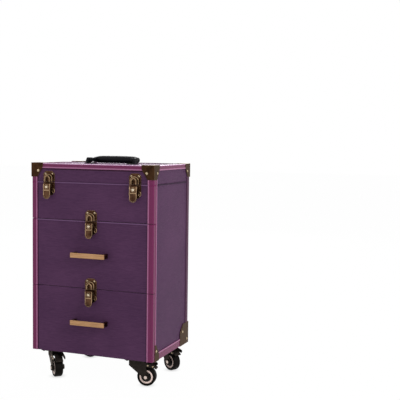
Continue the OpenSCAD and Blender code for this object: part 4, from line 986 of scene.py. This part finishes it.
def stitchPoints():
    places = []
    lean = math.radians(handle["stitchLean"])
    across, above = (abs(v) ** handle["square"] for v in (math.cos(lean), math.sin(lean)))
    for k in range(handle["stitches"]):
        t = handle["stitchEnd"] * (2 * k / (handle["stitches"] - 1) - 1)
        deep, tall, rise = gripSection(t)
        places.append(gripMiddle + Vector((t * handle["half"] - handle["stitchStart"],
                                           -deep * across, tall * above + rise)))
    mesh = bpy.data.meshes.new("stitch_points")
    mesh.from_pydata(places, [], [])
    facing = mesh.attributes.new("facing", "FLOAT_VECTOR", "POINT")
    for item in facing.data:
        item.vector = (1, 0, 0)
    return mesh


sewing = stitchTree().grow("carry_handle_stitches", stitchPoints(), threadFinish,
                           Radius=handle["thread"], Length=handle["stitch"])
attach(sewing, "carry_handle")
print("carry handle made")


# Quilted linings

quilt = {"cell": 0.028, "step": 0.0035, "puff": 0.0022, "base": 0.0006, "border": 0.006}


def quilted(corner, u, v, normal, width, height):
    shape = bmesh.new()
    columns, rows = max(2, round(width / quilt["step"])), max(2, round(height / quilt["step"]))
    grid = []
    for j in range(rows + 1):
        line = []
        for i in range(columns + 1):
            a, b = width * i / columns, height * j / rows
            one, two = ((a + sign * b) * math.pi / quilt["cell"] for sign in (1, -1))
            pillow = (abs(math.sin(one)) * abs(math.sin(two))) ** 0.4
            rim = min(1.0, min(a, width - a, b, height - b) / quilt["border"])
            lift = quilt["base"] + quilt["puff"] * pillow * rim ** 0.5
            line.append(shape.verts.new(corner + u * a + v * b + normal * lift))
        grid.append(line)
    right, left = [line[-1] for line in grid[1:]], [line[0] for line in reversed(grid[1:-1])]
    edge = [*grid[0], *right, *reversed(grid[-1][:-1]), *left]
    for low, high in zip(grid, grid[1:]):
        for k in range(columns):
            shape.faces.new([low[k], low[k + 1], high[k + 1], high[k]])
    back = [shape.verts.new(vert.co - normal * (vert.co - corner).dot(normal)) for vert in edge]
    for k in range(len(edge)):
        following = (k + 1) % len(edge)
        shape.faces.new([edge[following], edge[k], back[k], back[following]])
    shape.faces.new(back)
    bmesh.ops.recalc_face_normals(shape, faces=shape.faces)
    return shape


def lineBox(node, body, flatAt):
    low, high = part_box(node)
    x, y, z = Vector((1, 0, 0)), Vector((0, 1, 0)), Vector((0, 0, 1))
    width, depth, height = high - low
    flat = Vector((low.x, low.y, low.z if flatAt < 0 else high.z))
    panels = [
        (flat, x, y, -z * flatAt, width, depth),
        (low, x, z, y, width, height),
        (low + y * depth, x, z, -y, width, height),
        (low, y, z, x, depth, height),
        (low + x * width, y, z, -x, depth, height),
    ]
    piece = fromBmesh(node + "_quilted", joined([quilted(*panel) for panel in panels]), velvet)
    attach(piece, body)
    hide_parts(node)


lineBox("tier_lining", "case", -1)
lineBox("lid_lining", "lid", 1)
print("linings made")


# Floor, light and camera

# touch and reach bound the painted shadow round each wheel; the white level there drops to its lowest value next
# to the wheel.
floor = {"size": 30.0, "colour": (0.88, 0.88, 0.88), "near": 0.985, "contact": 0.62, "touch": 0.004,
         "reach": 0.030}
lamps = [
    {"name": "key", "place": (3.4, -1.5, 2.4), "size": 2.2, "power": 84},
    {"name": "left", "place": (-2.4, -3.0, 1.6), "size": 2.4, "power": 20},
    {"name": "top", "place": (0.2, 0.3, 3.4), "size": 2.6, "power": 34},
    {"name": "back", "place": (-1.1, 3.2, 1.25), "size": 1.6, "power": 30},
    {"name": "rim", "place": (-0.3, 1.3, 2.6), "size": 0.5, "power": 16},
]
camera = {"place": (0.99569, -1.97451, 0.64380), "yaw": 20.46, "pitch": 4.172, "roll": 0.767, "lens": 71.44}
aim = Vector((0, 0, 0.3))


def whiteBackground(tree):
    rays = tree.tree.nodes.new("ShaderNodeLightPath")
    seen = Wire(tree, rays.outputs["Is Camera Ray"])
    for other in ("Is Glossy Ray", "Is Transmission Ray"):
        seen = seen.maths("MAXIMUM", Wire(tree, rays.outputs[other]))
    return seen


def layFloor():
    bpy.ops.mesh.primitive_plane_add(size=floor["size"])
    plane = bpy.context.object
    plane.name = "floor"
    material = bpy.data.materials.new("pale floor")
    material.use_nodes = True
    tree = Nodes(material.node_tree)
    tree.tree.nodes.clear()
    matt = tree.add("ShaderNodeBsdfDiffuse", None, {"Color": (*floor["colour"], 1)})
    white = tree.add("ShaderNodeEmission", None, {"Strength": 1.0})
    place = tree.add("ShaderNodeTexCoord", out="Object")
    # Painted shadow: within reach of each wheel the floor's white is cut back, so a soft grey patch shows round
    # each wheel, deepened by the real shadow it lets through.
    away = None
    for i in range(1, 5):
        x, y, z = jointOf(f"caster_{i}_wheel")["pos_m"]
        gap = tree.add("ShaderNodeVectorMath", {"operation": "DISTANCE"}, [place, (x, y, 0.0)], "Value")
        away = away.maths("MINIMUM", gap) if away else gap
    whiten = tree.add("ShaderNodeMapRange", {"interpolation_type": "SMOOTHSTEP"},
                      [away, floor["touch"], floor["reach"], floor["contact"], floor["near"]])
    mixed = tree.add("ShaderNodeMixShader", None, [whiteBackground(tree) * whiten, matt, white])
    output = material.node_tree.nodes.new("ShaderNodeOutputMaterial")
    material.node_tree.links.new(mixed.socket, output.inputs["Surface"])
    plane.data.materials.append(material)


def lightWorld(strength):
    world = bpy.data.worlds.new("studio")
    bpy.context.scene.world = world
    world.use_nodes = True
    tree = Nodes(world.node_tree)
    tree.tree.nodes.clear()
    seen = whiteBackground(tree)
    level = seen * (1.0 - strength) + strength
    light = tree.add("ShaderNodeBackground", None, {"Color": (1, 1, 1, 1), "Strength": level})
    output = world.node_tree.nodes.new("ShaderNodeOutputWorld")
    world.node_tree.links.new(light.socket, output.inputs["Surface"])


def hangLamps():
    for lamp in lamps:
        light = bpy.data.lights.new(lamp["name"], "AREA")
        light.energy = lamp["power"]
        light.size = lamp["size"]
        holder = bpy.data.objects.new(lamp["name"], light)
        holder.location = lamp["place"]
        holder.rotation_euler = (aim - holder.location).to_track_quat("-Z", "Y").to_euler()
        bpy.context.scene.collection.objects.link(holder)


def setCamera():
    yaw, pitch, roll = (math.radians(camera[k]) for k in ("yaw", "pitch", "roll"))
    forward = Vector((-math.sin(yaw) * math.cos(pitch), math.cos(yaw) * math.cos(pitch), -math.sin(pitch)))
    right = Vector((math.cos(yaw), math.sin(yaw), 0))
    up = right.cross(forward)
    rolledRight = right * math.cos(roll) + up * math.sin(roll)
    rolledUp = up * math.cos(roll) - right * math.sin(roll)
    lens = bpy.data.cameras.new("camera")
    lens.lens = camera["lens"]
    lens.sensor_width = 36
    holder = bpy.data.objects.new("camera", lens)
    turn = Matrix((rolledRight, rolledUp, -forward)).transposed().to_4x4()
    holder.matrix_world = Matrix.Translation(camera["place"]) @ turn
    bpy.context.scene.collection.objects.link(holder)
    bpy.context.scene.camera = holder


setCamera()
layFloor()
lightWorld(0.45)
hangLamps()
bpy.context.scene.view_settings.view_transform = "Standard"
print("scene set")
